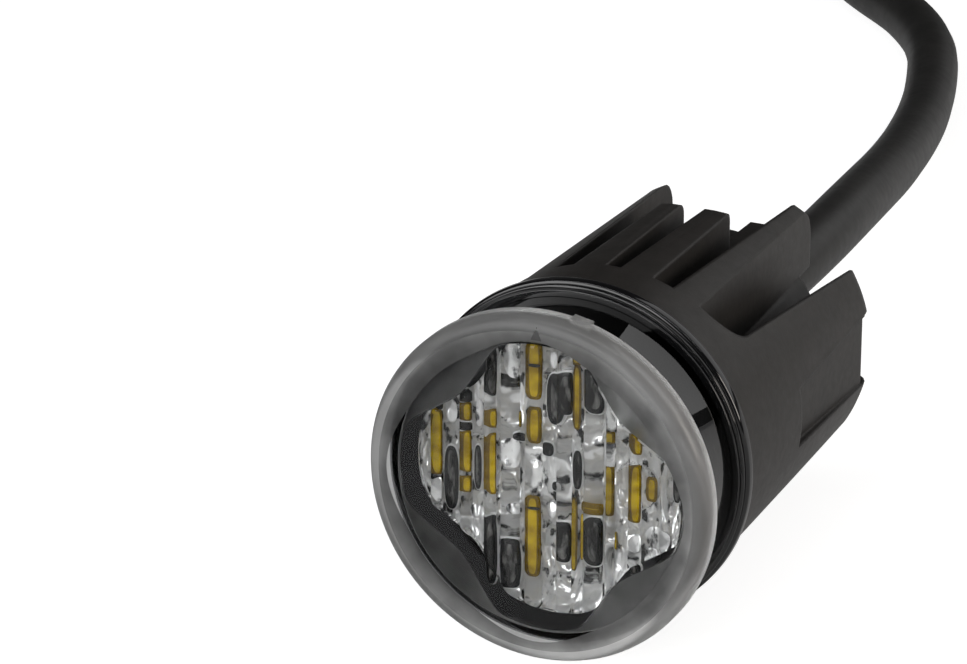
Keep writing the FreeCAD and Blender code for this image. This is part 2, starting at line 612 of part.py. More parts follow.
def rounded_path(points):
    """Straight runs joined by tangent arcs as large as the runs allow."""
    points = [V(*p) for p in points]
    edges = []
    at = points[0]
    for before, corner, after in zip(points, points[1:], points[2:]):
        back = before - corner
        ahead = after - corner
        turn = math.pi - back.getAngle(ahead)
        reach = 0.45 * min(back.Length, ahead.Length)
        radius = reach / math.tan(turn / 2)
        print("cord turn %.1f deg, radius %.1f mm" % (math.degrees(turn), radius))
        start = corner + back.normalize() * reach
        end = corner + ahead.normalize() * reach
        inward = (back + ahead).normalize()
        middle = corner + inward * (radius / math.cos(turn / 2) - radius)
        edges.append(Part.LineSegment(at, start).toShape())
        edges.append(Part.Arc(start, middle, end).toShape())
        at = end
    edges.append(Part.LineSegment(at, points[-1]).toShape())
    return Part.Wire(edges)


path = rounded_path(ROUTE)
heading = V(*ROUTE[1]) - V(*ROUTE[0])
section = Part.Wire(Part.Circle(V(*ROUTE[0]), heading, cord_r).toShape())
tube = doc.addObject("Part::Feature", "cord_run")
tube.Shape = path.makePipeShell([section], True, False)
expected = math.pi * cord_r ** 2 * path.Length
print("cord run %.1f mm, volume ratio %.4f" % (path.Length, tube.Shape.Volume / expected))
keep(tube, "cord_tube")

# Coil: the outer shape of the turns, with bevelled rims, cleared where the run joins it
bevel = d("coil_bevel")
coil_out = d("coil_mid_r") + cord_r
coil_in = d("coil_in_r") - cord_r
low = coil_z - cord_r
high = coil_z + cord_r
outline = [(coil_in + bevel, low), (coil_out - bevel, low), (coil_out, low + bevel), (coil_out, high - bevel),
           (coil_out - bevel, high), (coil_in + bevel, high), (coil_in, high - bevel), (coil_in, low + bevel)]
corners = [V(r, 0, z) for r, z in outline]
face = Part.Face(Part.makePolygon(corners + corners[:1]))
ring = face.revolve(V(0, 0, 0), V(0, 0, 1), 360)
ring.translate(V(COIL_CENTRE[0], COIL_CENTRE[1], 0))
ring_solid = doc.addObject("Part::Feature", "coil_ring")
ring_solid.Shape = ring
keep(cut("coil_cut", ring_solid, tube), "cord_coil")

# Two ties where the turns lie side by side
TIE_DEGREES = (155.0, 202.0)


def tie_loop(degrees):
    """A flat band around the turns at one place of the coil."""
    wide = d("tie_wide")
    gap = d("fit") + wide ** 2 / (8 * coil_in)
    thick = d("tie_thick") - gap
    inner = Part.makeBox(coil_out - coil_in + 2 * gap, wide, d("cord_d") + 2 * gap,
                         V(coil_in - gap, -wide / 2, low - gap))
    outer = Part.makeBox(coil_out - coil_in + 2 * (gap + thick), wide, d("cord_d") + 2 * (gap + thick),
                         V(coil_in - gap - thick, -wide / 2, low - gap - thick))
    loop = outer.cut(inner)
    loop.rotate(V(0, 0, 0), V(0, 0, 1), degrees)
    loop.translate(V(COIL_CENTRE[0], COIL_CENTRE[1], 0))
    return loop


ties = doc.addObject("Part::Feature", "tie_pair")
ties.Shape = Part.makeCompound([tie_loop(a) for a in TIE_DEGREES])
keep(ties, "coil_ties")

# Bare leads at the cord's end, reaching into the coil from its inner side
LEAD_DEGREES = 120.0
lead_start = d("fit") + (d("lead_gap") + d("lead_r")) ** 2 / (2 * coil_in)


def lead(offset, radius, start, length):
    """A straight lead from the coil's inner side towards its middle, offset sideways."""
    rod = Part.makeCylinder(radius, length, V(coil_in - start, offset, coil_z), V(-1, 0, 0))
    rod.rotate(V(0, 0, 0), V(0, 0, 1), LEAD_DEGREES)
    rod.translate(V(COIL_CENTRE[0], COIL_CENTRE[1], 0))
    return rod


for side, colour in ((-1, "red"), (0, "black"), (1, "yellow")):
    wire = doc.addObject("Part::Feature", "lead_rod_" + colour)
    wire.Shape = lead(side * d("lead_gap"), d("lead_r"), lead_start, d("lead_len"))
    keep(wire, "lead_" + colour)
strands = doc.addObject("Part::Feature", "strand_rods")
strand_start = lead_start + d("lead_len")
strands.Shape = Part.makeCompound([lead(side * d("lead_gap"), d("strand_r"), strand_start, d("strand_len"))
                                   for side in (-1, 0, 1)])
keep(strands, "lead_strands")

doc.recompute()
for obj in doc.Objects:
    if "Invalid" in obj.State or "Error" in obj.State:
        raise RuntimeError("%s failed: %s" % (obj.Name, obj.State))
os.makedirs("parts", exist_ok=True)
for obj in PARTS:
    shape = obj.Shape
    if shape.isNull() or not shape.isValid():
        raise RuntimeError("%s has no valid shape" % obj.Label)
    print("%-18s %d solid(s) %10.1f mm3" % (obj.Label, len(shape.Solids), shape.Volume))
    shape.exportStep("parts/%s.step" % obj.Label)
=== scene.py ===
import math

import bmesh
import bpy
from mathutils import Matrix, Vector


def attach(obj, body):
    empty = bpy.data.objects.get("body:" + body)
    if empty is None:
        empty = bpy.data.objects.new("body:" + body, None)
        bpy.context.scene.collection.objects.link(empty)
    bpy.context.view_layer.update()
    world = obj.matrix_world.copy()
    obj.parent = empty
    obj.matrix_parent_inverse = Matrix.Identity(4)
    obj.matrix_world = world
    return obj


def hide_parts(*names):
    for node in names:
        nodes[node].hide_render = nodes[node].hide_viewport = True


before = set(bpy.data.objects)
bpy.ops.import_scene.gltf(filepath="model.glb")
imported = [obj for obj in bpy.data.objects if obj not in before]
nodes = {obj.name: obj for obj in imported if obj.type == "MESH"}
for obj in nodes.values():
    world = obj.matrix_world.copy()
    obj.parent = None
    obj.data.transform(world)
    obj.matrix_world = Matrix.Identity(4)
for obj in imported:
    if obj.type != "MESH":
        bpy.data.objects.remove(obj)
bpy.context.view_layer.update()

# Looks of the strobe beacon. Lengths are in millimetres until a mesh is made; the lens faces -Y.
MM = 0.001
BODY = "root"
ROUND = 224          # segments round the lamp's axis
SHARP_DEG = 32.0     # edges that turn more than this stay sharp

# Sizes that the CAD pieces share with the detailed ones
FLANGE_R = 23.0
FACE_Y = -4.0
RIM_ROUND = 1.8
REAR_ROUND = 0.5
WALL_REAR = -1.8
WINDOW_DEPTH = 0.3
WINDOW_R = 19.2
WINDOW_NOTCH_R = 15.1
WINDOW_REACH = 24.2
WINDOW_ARM = 3.5
SKIRT_R = 21.0
SKIRT_IN = 19.5
SEAT_Y = 12.0
SPIGOT_Y = 9.5
SPIGOT_R = 19.45
OPTIC_FRONT = 0.8
OPTIC_REAR = 2.6
LED_PITCH = 10.6


# Materials
SKIN_WAVES = 260.0    # waves per metre in moulded skins
GLOSS_SPREAD = 0.07   # how far the gloss of a coat wanders either way
EDGE_SAMPLES = 6
CLOUD_SCALE = 210.0   # clouds per metre in the frost
CLOUD_SPAN = (0.35, 0.65)
# x span of the painted lean from shade at the left to light at the right, in metres
PAINTED_LEAN_SPAN = (-0.018, 0.018)


def shader(name, color, roughness, **sockets):
    """A Principled material; the other sockets are given by name with underscores for spaces."""
    material = bpy.data.materials.new(name)
    material.use_nodes = True
    bsdf = material.node_tree.nodes["Principled BSDF"]
    bsdf.inputs["Base Color"].default_value = (*color, 1.0)
    bsdf.inputs["Roughness"].default_value = roughness
    for socket, value in sockets.items():
        bsdf.inputs[socket.replace("_", " ")].default_value = value
    return material


def noise(material, scale, detail=4.0, stretch=(1.0, 1.0, 1.0)):
    """A noise field in the object's own coordinates; the scale is features per metre."""
    tree = material.node_tree
    where = tree.nodes.new("ShaderNodeTexCoord")
    mapping = tree.nodes.new("ShaderNodeMapping")
    mapping.inputs["Scale"].default_value = stretch
    field = tree.nodes.new("ShaderNodeTexNoise")
    field.inputs["Scale"].default_value = scale
    field.inputs["Detail"].default_value = detail
    tree.links.new(where.outputs["Object"], mapping.inputs["Vector"])
    tree.links.new(mapping.outputs["Vector"], field.inputs["Vector"])
    return field.outputs["Fac"]


def vary_roughness(material, field, low, high):
    tree = material.node_tree
    ramp = tree.nodes.new("ShaderNodeMapRange")
    ramp.inputs["To Min"].default_value = low
    ramp.inputs["To Max"].default_value = high
    tree.links.new(field, ramp.inputs["Value"])
    tree.links.new(ramp.outputs["Result"], tree.nodes["Principled BSDF"].inputs["Roughness"])


def vary_color(material, field, dark, light, span=(0.35, 0.65)):
    tree = material.node_tree
    ramp = tree.nodes.new("ShaderNodeValToRGB")
    ramp.color_ramp.elements[0].position = span[0]
    ramp.color_ramp.elements[0].color = (*dark, 1.0)
    ramp.color_ramp.elements[1].position = span[1]
    ramp.color_ramp.elements[1].color = (*light, 1.0)
    tree.links.new(field, ramp.inputs["Fac"])
    tree.links.new(ramp.outputs["Color"], tree.nodes["Principled BSDF"].inputs["Base Color"])


def bump(material, field, height_mm):
    tree = material.node_tree
    node = tree.nodes.new("ShaderNodeBump")
    node.inputs["Distance"].default_value = height_mm * MM
    tree.links.new(field, node.inputs["Height"])
    tree.links.new(node.outputs["Normal"], tree.nodes["Principled BSDF"].inputs["Normal"])


def soft_edge(material, radius_mm):
    """Round the sharp edges in the shading, so that they catch light."""
    tree = material.node_tree
    edge = tree.nodes.new("ShaderNodeBevel")
    edge.samples = EDGE_SAMPLES
    edge.inputs["Radius"].default_value = radius_mm * MM
    for node in tree.nodes:
        if node.bl_idname == "ShaderNodeBump":
            tree.links.new(edge.outputs["Normal"], node.inputs["Normal"])


def satin(name, dark, light, rough, grain_per_m, grain_mm, **sockets):
    """A coated or moulded surface: soft colour mottle, fine grain and uneven gloss."""
    material = shader(name, light, rough, **sockets)
    vary_color(material, noise(material, grain_per_m / 8), dark, light)
    vary_roughness(material, noise(material, grain_per_m / 3), rough - GLOSS_SPREAD, rough + GLOSS_SPREAD)
    bump(material, noise(material, grain_per_m, 2.0), grain_mm)
    return material


def clear(name, tint, rough, index, wave_mm, through=1.0):
    """Clear or frosted moulded plastic with slight waviness of its skin."""
    material = shader(name, tint, rough, Transmission_Weight=through, IOR=index)
    bump(material, noise(material, SKIN_WAVES, 1.0), wave_mm)
    return material


def by_radius(material, stops, cloud, lean):
    """Grey a material by the distance from the lamp's axis: (radius in millimetres, grey) stops, as painted
    shade and light.
    Clouds (random tone) and a lean from left to right (painted shade at the left, painted light at the
    right) scale the grey between two factors each."""
    tree = material.node_tree
    where = tree.nodes.new("ShaderNodeTexCoord")
    flat = tree.nodes.new("ShaderNodeMapping")
    flat.inputs["Scale"].default_value = (1.0, 0.0, 1.0)
    length = tree.nodes.new("ShaderNodeVectorMath")
    length.operation = "LENGTH"
    span = tree.nodes.new("ShaderNodeMapRange")
    span.inputs["From Min"].default_value = stops[0][0] * MM
    span.inputs["From Max"].default_value = stops[-1][0] * MM
    ramp = tree.nodes.new("ShaderNodeValToRGB")
    elements = ramp.color_ramp.elements
    for i, (radius, grey) in enumerate(stops):
        at = (radius - stops[0][0]) / (stops[-1][0] - stops[0][0])
        element = elements[0] if i == 0 else elements.new(at) if i < len(stops) - 1 else elements[-1]
        element.position = at
        element.color = (grey, grey * 1.005, grey, 1.0)
    tree.links.new(where.outputs["Object"], flat.inputs["Vector"])
    tree.links.new(flat.outputs["Vector"], length.inputs[0])
    tree.links.new(length.outputs["Value"], span.inputs["Value"])
    tree.links.new(span.outputs["Result"], ramp.inputs["Fac"])
    split = tree.nodes.new("ShaderNodeSeparateXYZ")
    tree.links.new(where.outputs["Object"], split.inputs["Vector"])
    shade = ramp.outputs["Color"]
    # Random clouds, then the painted lean of shade and light along x
    for field, (low, high), factors in ((noise(material, CLOUD_SCALE, 3.0), CLOUD_SPAN, cloud),
                                        (split.outputs["X"], PAINTED_LEAN_SPAN, lean)):
        factor = tree.nodes.new("ShaderNodeMapRange")
        factor.inputs["From Min"].default_value = low
        factor.inputs["From Max"].default_value = high
        factor.inputs["To Min"].default_value = factors[0]
        factor.inputs["To Max"].default_value = factors[1]
        scaled = tree.nodes.new("ShaderNodeVectorMath")
        scaled.operation = "SCALE"
        tree.links.new(field, factor.inputs["Value"])
        tree.links.new(shade, scaled.inputs[0])
        tree.links.new(factor.outputs["Result"], scaled.inputs["Scale"])
        shade = scaled.outputs["Vector"]
    tree.links.new(shade, tree.nodes["Principled BSDF"].inputs["Base Color"])


LENS_CLEAR = clear("lens_clear", (0.98, 0.985, 0.985), 0.0, 1.15, 0.004)
# Frost with painted shade and light: darker towards the middle, lighter towards the rim and to the right;
# the clouds are random tone
LENS_FROST_AND_PAINTED_LIGHT = clear("lens_frost_and_painted_light", (0.2, 0.2, 0.2), 0.42, 1.22, 0.01, 0.42)
by_radius(LENS_FROST_AND_PAINTED_LIGHT, [(15.0, 0.078), (19.5, 0.105), (20.6, 0.16), (21.4, 0.25), (23.0, 0.34)],
          (0.75, 1.35), (0.7, 1.45))
# Frosted rim with painted shade: much darker to the left and a little lighter to the right; the clouds are
# random tone
LENS_RIM_AND_PAINTED_SHADE = clear("lens_rim_and_painted_shade", (0.76, 0.765, 0.755), 0.3, 1.3, 0.01, 0.84)
by_radius(LENS_RIM_AND_PAINTED_SHADE, [(20.0, 0.76), (23.0, 0.8)], (0.94, 1.06), (0.5, 1.16))
# Painted shade: the skirt of the clear moulding is tinted near black, so that it shows as shade rather than
# what lies behind it
LENS_SKIRT_SHADE = clear("lens_skirt_painted_shade", (0.03, 0.03, 0.031), 0.0, 1.46, 0.004)
LENS_MARK = satin("lens_mark", (0.025, 0.025, 0.025), (0.045, 0.045, 0.045), 0.4, 3000.0, 0.004)
OPTIC_CLEAR = clear("optic_clear", (0.985, 0.99, 0.99), 0.0, 1.42, 0.006)
# The bowls' rear face: real gloss, and painted reflections in white and near-black blotches
OPTIC_REAR_REFLECTIONS = shader("optic_rear_painted_reflections", (0.86, 0.87, 0.87), 0.05, Metallic=0.3)
vary_color(OPTIC_REAR_REFLECTIONS, noise(OPTIC_REAR_REFLECTIONS, 640.0, 4.0, (1.2, 1.0, 0.6)),
           (0.02, 0.02, 0.022), (1.0, 1.0, 1.0), (0.37, 0.445))
bump(OPTIC_REAR_REFLECTIONS, noise(OPTIC_REAR_REFLECTIONS, 640.0, 1.5, (1.2, 1.0, 0.5)), 1.4)
# Painted image of the yellow emitters as the ribs would draw them out, with painted shade at its border
OPTIC_AMBER_IMAGE = satin("optic_painted_amber_image", (0.32, 0.2, 0.0), (0.68, 0.47, 0.006), 0.4, 4200.0, 0.02,
                    Specular_IOR_Level=0.05)
OPTIC_AMBER_SHADE = satin("optic_amber_painted_shade", (0.1, 0.058, 0.0), (0.25, 0.15, 0.0), 0.4, 4200.0, 0.02,
                    Specular_IOR_Level=0.05)
# Painted reflections of the bright studio, swirled white and grey
OPTIC_PAINTED_REFLECTION = shader("optic_painted_reflection", (0.84, 0.85, 0.86), 0.12, Metallic=0.3)
vary_color(OPTIC_PAINTED_REFLECTION, noise(OPTIC_PAINTED_REFLECTION, 760.0, 3.0, (1.3, 1.0, 0.6)),
           (0.1, 0.1, 0.105), (1.0, 1.0, 1.0), (0.35, 0.44))
bump(OPTIC_PAINTED_REFLECTION, noise(OPTIC_PAINTED_REFLECTION, 420.0, 1.0, (1.4, 1.0, 0.6)), 1.6)
# Painted highlights that outline the dark images
OPTIC_PAINTED_HIGHLIGHT = satin("optic_painted_highlight", (0.7, 0.71, 0.71), (0.9, 0.9, 0.9), 0.3, 3200.0, 0.02)
# Painted images of the black board seen through the optic: a near-black border as painted shade and a
# middle with grey blobs as painted reflection
OPTIC_BOARD_BORDER_SHADE = satin("optic_board_painted_shade", (0.002, 0.002, 0.0025), (0.012, 0.012, 0.013), 0.3, 2400.0, 0.02,
                   Specular_IOR_Level=0.1)
OPTIC_BOARD_IMAGE = shader("optic_board_painted_image", (0.01, 0.01, 0.01), 0.3, Specular_IOR_Level=0.1)
vary_color(OPTIC_BOARD_IMAGE, noise(OPTIC_BOARD_IMAGE, 900.0, 3.0, (1.6, 1.0, 0.5)),
           (0.001, 0.001, 0.001), (0.2, 0.195, 0.19), (0.46, 0.7))
TRIM_BLACK = satin("trim_black", (0.004, 0.004, 0.0045), (0.007, 0.007, 0.0075), 0.07, 900.0, 0.0005,
                   Specular_IOR_Level=0.5)
SINK_BLACK = satin("heatsink_black", (0.0125, 0.0113, 0.0103), (0.0167, 0.015, 0.0138), 0.46, 2600.0, 0.012,
                   Specular_IOR_Level=0.35)
soft_edge(SINK_BLACK, 0.55)
CORD_BLACK = satin("cord_black", (0.0105, 0.0105, 0.01), (0.016, 0.0155, 0.015), 0.45, 1500.0, 0.008,
                   Specular_IOR_Level=0.3)
RUBBER = satin("black_rubber", (0.012, 0.012, 0.012), (0.02, 0.02, 0.02), 0.62, 2200.0, 0.015)
RESIN = satin("black_resin", (0.008, 0.008, 0.008), (0.014, 0.014, 0.014), 0.3, 500.0, 0.03)
BOARD_BLACK = satin("board_black", (0.008, 0.009, 0.009), (0.014, 0.015, 0.015), 0.33, 1200.0, 0.004)
BOARD_GREEN = satin("board_green", (0.01, 0.07, 0.025), (0.02, 0.11, 0.04), 0.35, 1200.0, 0.004)
PAD_GREY = satin("pad_grey", (0.33, 0.34, 0.36), (0.42, 0.43, 0.45), 0.7, 1800.0, 0.02)
CERAMIC = satin("led_white", (0.78, 0.78, 0.75), (0.86, 0.86, 0.83), 0.4, 3000.0, 0.004)
PHOSPHOR = satin("phosphor_yellow", (0.78, 0.52, 0.012), (0.86, 0.62, 0.03), 0.5, 5000.0, 0.01)
RESISTOR = satin("chip_black", (0.015, 0.015, 0.016), (0.03, 0.03, 0.032), 0.45, 3000.0, 0.004)
STEEL = satin("dark_steel", (0.05, 0.05, 0.052), (0.09, 0.09, 0.092), 0.35, 2500.0, 0.004, Metallic=1.0)
FERRITE = satin("dark_ferrite", (0.03, 0.03, 0.032), (0.06, 0.06, 0.062), 0.55, 3500.0, 0.02)
CAN = satin("bright_can", (0.62, 0.63, 0.64), (0.72, 0.73, 0.74), 0.25, 2500.0, 0.004, Metallic=1.0)
WIRE_WHITE = satin("wire_white", (0.62, 0.62, 0.6), (0.72, 0.72, 0.7), 0.45, 2500.0, 0.006)
TIE_BLACK = satin("tie_black", (0.012, 0.012, 0.013), (0.022, 0.022, 0.023), 0.42, 2500.0, 0.008)
WIRE_RED = satin("wire_red", (0.42, 0.012, 0.012), (0.52, 0.02, 0.018), 0.42, 2500.0, 0.006)
WIRE_BLACK = satin("wire_black", (0.012, 0.012, 0.013), (0.022, 0.022, 0.023), 0.42, 2500.0, 0.006)
WIRE_YELLOW = satin("wire_yellow", (0.66, 0.48, 0.02), (0.75, 0.57, 0.03), 0.42, 2500.0, 0.006)
COPPER = satin("bare_copper", (0.62, 0.3, 0.17), (0.74, 0.4, 0.24), 0.3, 4000.0, 0.006, Metallic=1.0)


# Object and mesh helpers

def new_object(name, data):
    obj = bpy.data.objects.new(name, data)
    bpy.context.scene.collection.objects.link(obj)
    return obj


def piece(name, mesh, materials, stands_for=(), sharp_deg=SHARP_DEG):
    """A new object on the part's one body and the CAD nodes that it replaces."""
    obj = new_object(name, mesh)
    for material in materials:
        mesh.materials.append(material)
    mesh.shade_smooth()
    mesh.set_sharp_from_angle(angle=math.radians(sharp_deg))
    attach(obj, BODY)
    if stands_for:
        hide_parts(*stands_for)
    return obj


def finish_mesh(bm, name):
    """Turn the faces outwards and make the mesh."""
    bmesh.ops.recalc_face_normals(bm, faces=bm.faces)
    mesh = bpy.data.meshes.new(name)
    bm.to_mesh(mesh)
    bm.free()
    return mesh


def bridge(bm, first, second):
    """Quads between two closed loops of as many points."""
    count = len(first)
    faces = []
    for i in range(count):
        j = (i + 1) % count
        faces.append(bm.faces.new((first[i], first[j], second[j], second[i])))
    return faces


def revolved(name, rings, segments=ROUND, closed=False):
    """Bridge rings about the axis. A ring is (radius, y, material index of the band after it);
    its radius is a number or a function of the angle. A radius of 0 makes a pole."""
    bm = bmesh.new()
    loops = []
    for radius, y, _ in rings:
        if radius == 0:
            loops.append([bm.verts.new((0.0, y * MM, 0.0))])
            continue
        loop = []
        for i in range(segments):
            a = 2 * math.pi * i / segments
            r = radius(a) if callable(radius) else radius
            loop.append(bm.verts.new((r * math.cos(a) * MM, y * MM, r * math.sin(a) * MM)))
        loops.append(loop)
    pairs = list(zip(loops, loops[1:]))
    if closed:
        pairs.append((loops[-1], loops[0]))
    for (first, second), (_, _, material) in zip(pairs, rings):
        for i in range(segments):
            j = (i + 1) % segments
            if len(first) == 1:
                corners = [first[0], second[j], second[i]]
            elif len(second) == 1:
                corners = [first[i], first[j], second[0]]
            else:
                corners = [first[i], first[j], second[j], second[i]]
            bm.faces.new(corners).material_index = material
    return finish_mesh(bm, name)


def round_corner(corner, before, after, radius, steps=5):
    """Points of the arc that rounds a profile's corner."""
    corner, before, after = Vector(corner), Vector(before), Vector(after)
    back = (before - corner).normalized()
    ahead = (after - corner).normalized()
    half = back.angle(ahead) / 2
    centre = corner + (back + ahead).normalized() * (radius / math.sin(half))
    start = corner + back * (radius / math.tan(half)) - centre
    end = corner + ahead * (radius / math.tan(half)) - centre
    sweep = start.angle_signed(end)
    return [tuple(centre + Matrix.Rotation(-sweep * i / steps, 2) @ start) for i in range(steps + 1)]


def rounded_profile(corners):
    """Turn (radius, y, rounding, material) corners into ring points with arcs at the rounded ones."""
    points = []
    for i, (r, y, rounding, material) in enumerate(corners):
        if not rounding:
            points.append((r, y, material))
            continue
        before = corners[i - 1][:2]
        after = corners[(i + 1) % len(corners)][:2]
        points += [(p[0], p[1], material) for p in round_corner((r, y), before, after, rounding)]
    return points


# Camera, as fitted to the photograph: 967 x 664 pixels, focal length in pixels of that frame
IMAGE_W = 967
FOCAL_PX = 4500.0
SENSOR_MM = 36.0
VIEW_AZIMUTH = math.radians(25.25)
VIEW_ELEVATION = math.radians(21.85)
VIEW_DISTANCE = 556.3
VIEW_RIGHT = -7.79
VIEW_UP = 18.475


def make_camera():
    cos_el = math.cos(VIEW_ELEVATION)
    back = Vector((math.sin(VIEW_AZIMUTH) * cos_el, -math.cos(VIEW_AZIMUTH) * cos_el,
                   math.sin(VIEW_ELEVATION)))
    right = Vector((math.cos(VIEW_AZIMUTH), math.sin(VIEW_AZIMUTH), 0.0))
    up = back.cross(right)
    eye = (back * VIEW_DISTANCE + right * VIEW_RIGHT + up * VIEW_UP) * MM
    data = bpy.data.cameras.new("camera")
    data.sensor_width = SENSOR_MM
    data.lens = FOCAL_PX / IMAGE_W * SENSOR_MM
    data.clip_start = 0.01
    camera = new_object("camera", data)
    camera.matrix_world = Matrix.Translation(eye) @ Matrix((right, up, back)).transposed().to_4x4()
    bpy.context.scene.camera = camera


make_camera()


# Lead: the route from the gland, then the coil's turns
CORD_D = 8.6
FLOOR_Z = -23.0
COIL_Z = FLOOR_Z + 1.0 + CORD_D / 2
ROUTE = [
    (0.0, 70.0, 0.0), (0.0, 88.0, 0.0), (-4.0, 118.0, -3.2), (-13.0, 162.0, -11.8),
    (-24.5, 208.0, -18.6), (-37.0, 244.0, -18.7), (-66.0, 271.0, -18.4), (-85.0, 301.3, COIL_Z)]
COIL_CENTRE = (-46.0, 331.0)
COIL_OUTER_R = 49.0
COIL_INNER_R = 38.0
COIL_START = math.radians(217.3)
COIL_END = math.radians(140.0 - 360.0)
COIL_STEPS = 30


def coil_points():
    """Control points of a flat spiral that winds inwards; a spline runs inside its control points."""
    step = (COIL_START - COIL_END) / COIL_STEPS
    outward = 4.0 / (3.0 + math.cos(step))
    points = []
    for i in range(1, COIL_STEPS + 1):
        a = COIL_START - i * step
        r = (COIL_OUTER_R + (COIL_INNER_R - COIL_OUTER_R) * i / COIL_STEPS) * outward
        points.append((COIL_CENTRE[0] + r * math.cos(a), COIL_CENTRE[1] + r * math.sin(a), COIL_Z))
    return points


def nurbs_tube(name, points, radius, material):
    """A round tube along a smooth spline with these control points."""
    curve = bpy.data.curves.new(name, "CURVE")
    curve.dimensions = "3D"
    spline = curve.splines.new("NURBS")
    spline.points.add(len(points) - 1)
    for point, (x, y, z) in zip(spline.points, points):
        point.co = (x * MM, y * MM, z * MM, 1.0)
    spline.order_u = 3
    spline.use_endpoint_u = True
    spline.resolution_u = 12
    curve.bevel_depth = radius * MM
    curve.bevel_resolution = 7
    curve.use_fill_caps = True
    curve.materials.append(material)
    obj = new_object(name, curve)
    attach(obj, BODY)
    return obj


cord = nurbs_tube("power_lead", ROUTE + coil_points(), CORD_D / 2, CORD_BLACK)
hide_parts("cord_tube", "cord_coil")

# Bare leads: out of the jacket's cut end, then in towards the middle of the coil
LEAD_R = 1.2
LEAD_PACK = 0.85      # sideways step in the jacket, in wire radii
LEAD_GAP = 2.9        # and where they are spread
LEAD_ENDS = (0.03, -0.09)    # angles inside and outside the jacket's end
LEAD_TURN = (2.0, -7.0)      # where the turn begins and ends, from LEAD_ROOT_R
LEAD_ANGLE = math.radians(120.0)
LEAD_ROOT_R = 33.4
LEAD_LEN = 26.0


def polar(r, a, side):
    """A point in the coil's plane at a radius and angle, moved sideways."""
    x = COIL_CENTRE[0] + r * math.cos(a) - side * math.sin(a)
    y = COIL_CENTRE[1] + r * math.sin(a) + side * math.cos(a)
    return (x, y, COIL_Z)


lead_pieces = []
LEADS = ((-1, "red", WIRE_RED), (0, "black", WIRE_BLACK), (1, "yellow", WIRE_YELLOW))
for side, colour, material in LEADS:
    spread = LEAD_PACK * LEAD_R * side
    offset = side * LEAD_GAP
    route = [polar(COIL_INNER_R - spread, COIL_END + turn, 0.0) for turn in LEAD_ENDS]
    route += [polar(LEAD_ROOT_R + out, LEAD_ANGLE, offset) for out in (*LEAD_TURN, -LEAD_LEN)]
    wire = nurbs_tube("lead_wire_" + colour, route, LEAD_R, material)
    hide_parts("lead_" + colour)
    lead_pieces.append(wire)

# Cable ties: a snug band round both turns, with its head on top
TIE_DEGREES = (155.0, 202.0)
TIE_IN = CORD_D / 2 + 0.05
TIE_OUT = CORD_D / 2 + 0.95
TIE_WIDE = 3.2
TIE_HEAD = (2.6, 2.3, 2.2)    # half along the band, half across it, height
TIE_SUNK = 0.5        # how far the head reaches into the band
TIE_CHAMFER = 0.4
TIE_SIDES = 48


def build_ties():
    bm = bmesh.new()
    for degrees in TIE_DEGREES:
        a = math.radians(degrees)
        turns = []
        for at in (a, a - 2 * math.pi):
            share = (COIL_START - at) / (COIL_START - COIL_END)
            turns.append(COIL_OUTER_R + (COIL_INNER_R - COIL_OUTER_R) * share)
        middle = (turns[0] + turns[1]) / 2
        half = (turns[0] - turns[1]) / 2
        rings = []
        for grow, side in ((TIE_IN, -0.5), (TIE_OUT, -0.5), (TIE_OUT, 0.5), (TIE_IN, 0.5)):
            ring = []
            for i in range(TIE_SIDES):
                t = 2 * math.pi * (i + 0.5) / TIE_SIDES
                r = middle + math.copysign(half, math.cos(t)) + grow * math.cos(t)
                x, y, z = polar(r, a, side * TIE_WIDE)
                ring.append(bm.verts.new((x * MM, y * MM, (z + grow * math.sin(t)) * MM)))
            rings.append(ring)
        for first, second in zip(rings, rings[1:] + rings[:1]):
            bridge(bm, first, second)
        along, across, tall = TIE_HEAD
        rows = []
        for rise, shrink in ((-TIE_SUNK, 0.0), (tall - TIE_SUNK, 0.0), (tall, TIE_CHAMFER)):
            row = []
            for sx, sy in ((1, 1), (-1, 1), (-1, -1), (1, -1)):
                x, y, z = polar(middle + sx * (along - shrink), a, sy * (across - shrink))
                row.append(bm.verts.new((x * MM, y * MM, (z + TIE_OUT + rise) * MM)))
            rows.append(row)
        for first, second in zip(rows, rows[1:]):
            bridge(bm, first, second)
        bm.faces.new(rows[0])
        bm.faces.new(rows[-1])
    return piece("cable_ties", finish_mesh(bm, "cable_ties"), [TIE_BLACK], ["coil_ties"])


lead_pieces + [build_ties(), nodes["lead_strands"]]


# Lens: one clear moulding, frosted outside its cross-shaped window
WINDOW_SOFT = 0.10    # how softly the outline turns at its notches, radians
WINDOW_BLEND = 1.1    # how softly the arms' sides run into their ends
FROST_R = 18.8        # outside this the front face is frosted too
FROST_ARM = 1.3       # how much further out that is at the ends of the arms
FROST_SPREAD = 0.55   # angle off an arm at which that stops, radians
WINDOW_STEP = 0.12    # slope of the window's edge in the rear face
LENS_ROUND = 288
LENS_SHARP_DEG = 38.0


def cross_radius(inset, end_inset):
    """The four-armed outline as a radius over the angle, inset along its sides and at its ends."""
    notch = (WINDOW_NOTCH_R - inset) * math.sqrt(0.5)
    arm = WINDOW_ARM - inset
    slope = (arm - notch) / (WINDOW_REACH - notch)
    end = WINDOW_R - end_inset

    def radius(angle):
        quarter = angle % (math.pi / 2)
        from_notch = math.hypot(math.pi / 4 - quarter, WINDOW_SOFT) - WINDOW_SOFT * 0.55
        a = max(0.0, math.pi / 4 - from_notch)
        side = (notch - slope * notch) / (math.sin(a) - slope * math.cos(a))
        if side <= 0:
            side = 4 * end
        gap = side - end
        return (side + end - math.hypot(gap, WINDOW_BLEND)) / 2

    return radius


def frost_radius(angle):
    """Where the front face's frost begins: further out at the ends of the window's arms."""
    off_arm = abs((angle + math.pi / 4) % (math.pi / 2) - math.pi / 4)
    share = max(0.0, 1 - off_arm / FROST_SPREAD)
    return FROST_R + FROST_ARM * share * share * (3 - 2 * share)


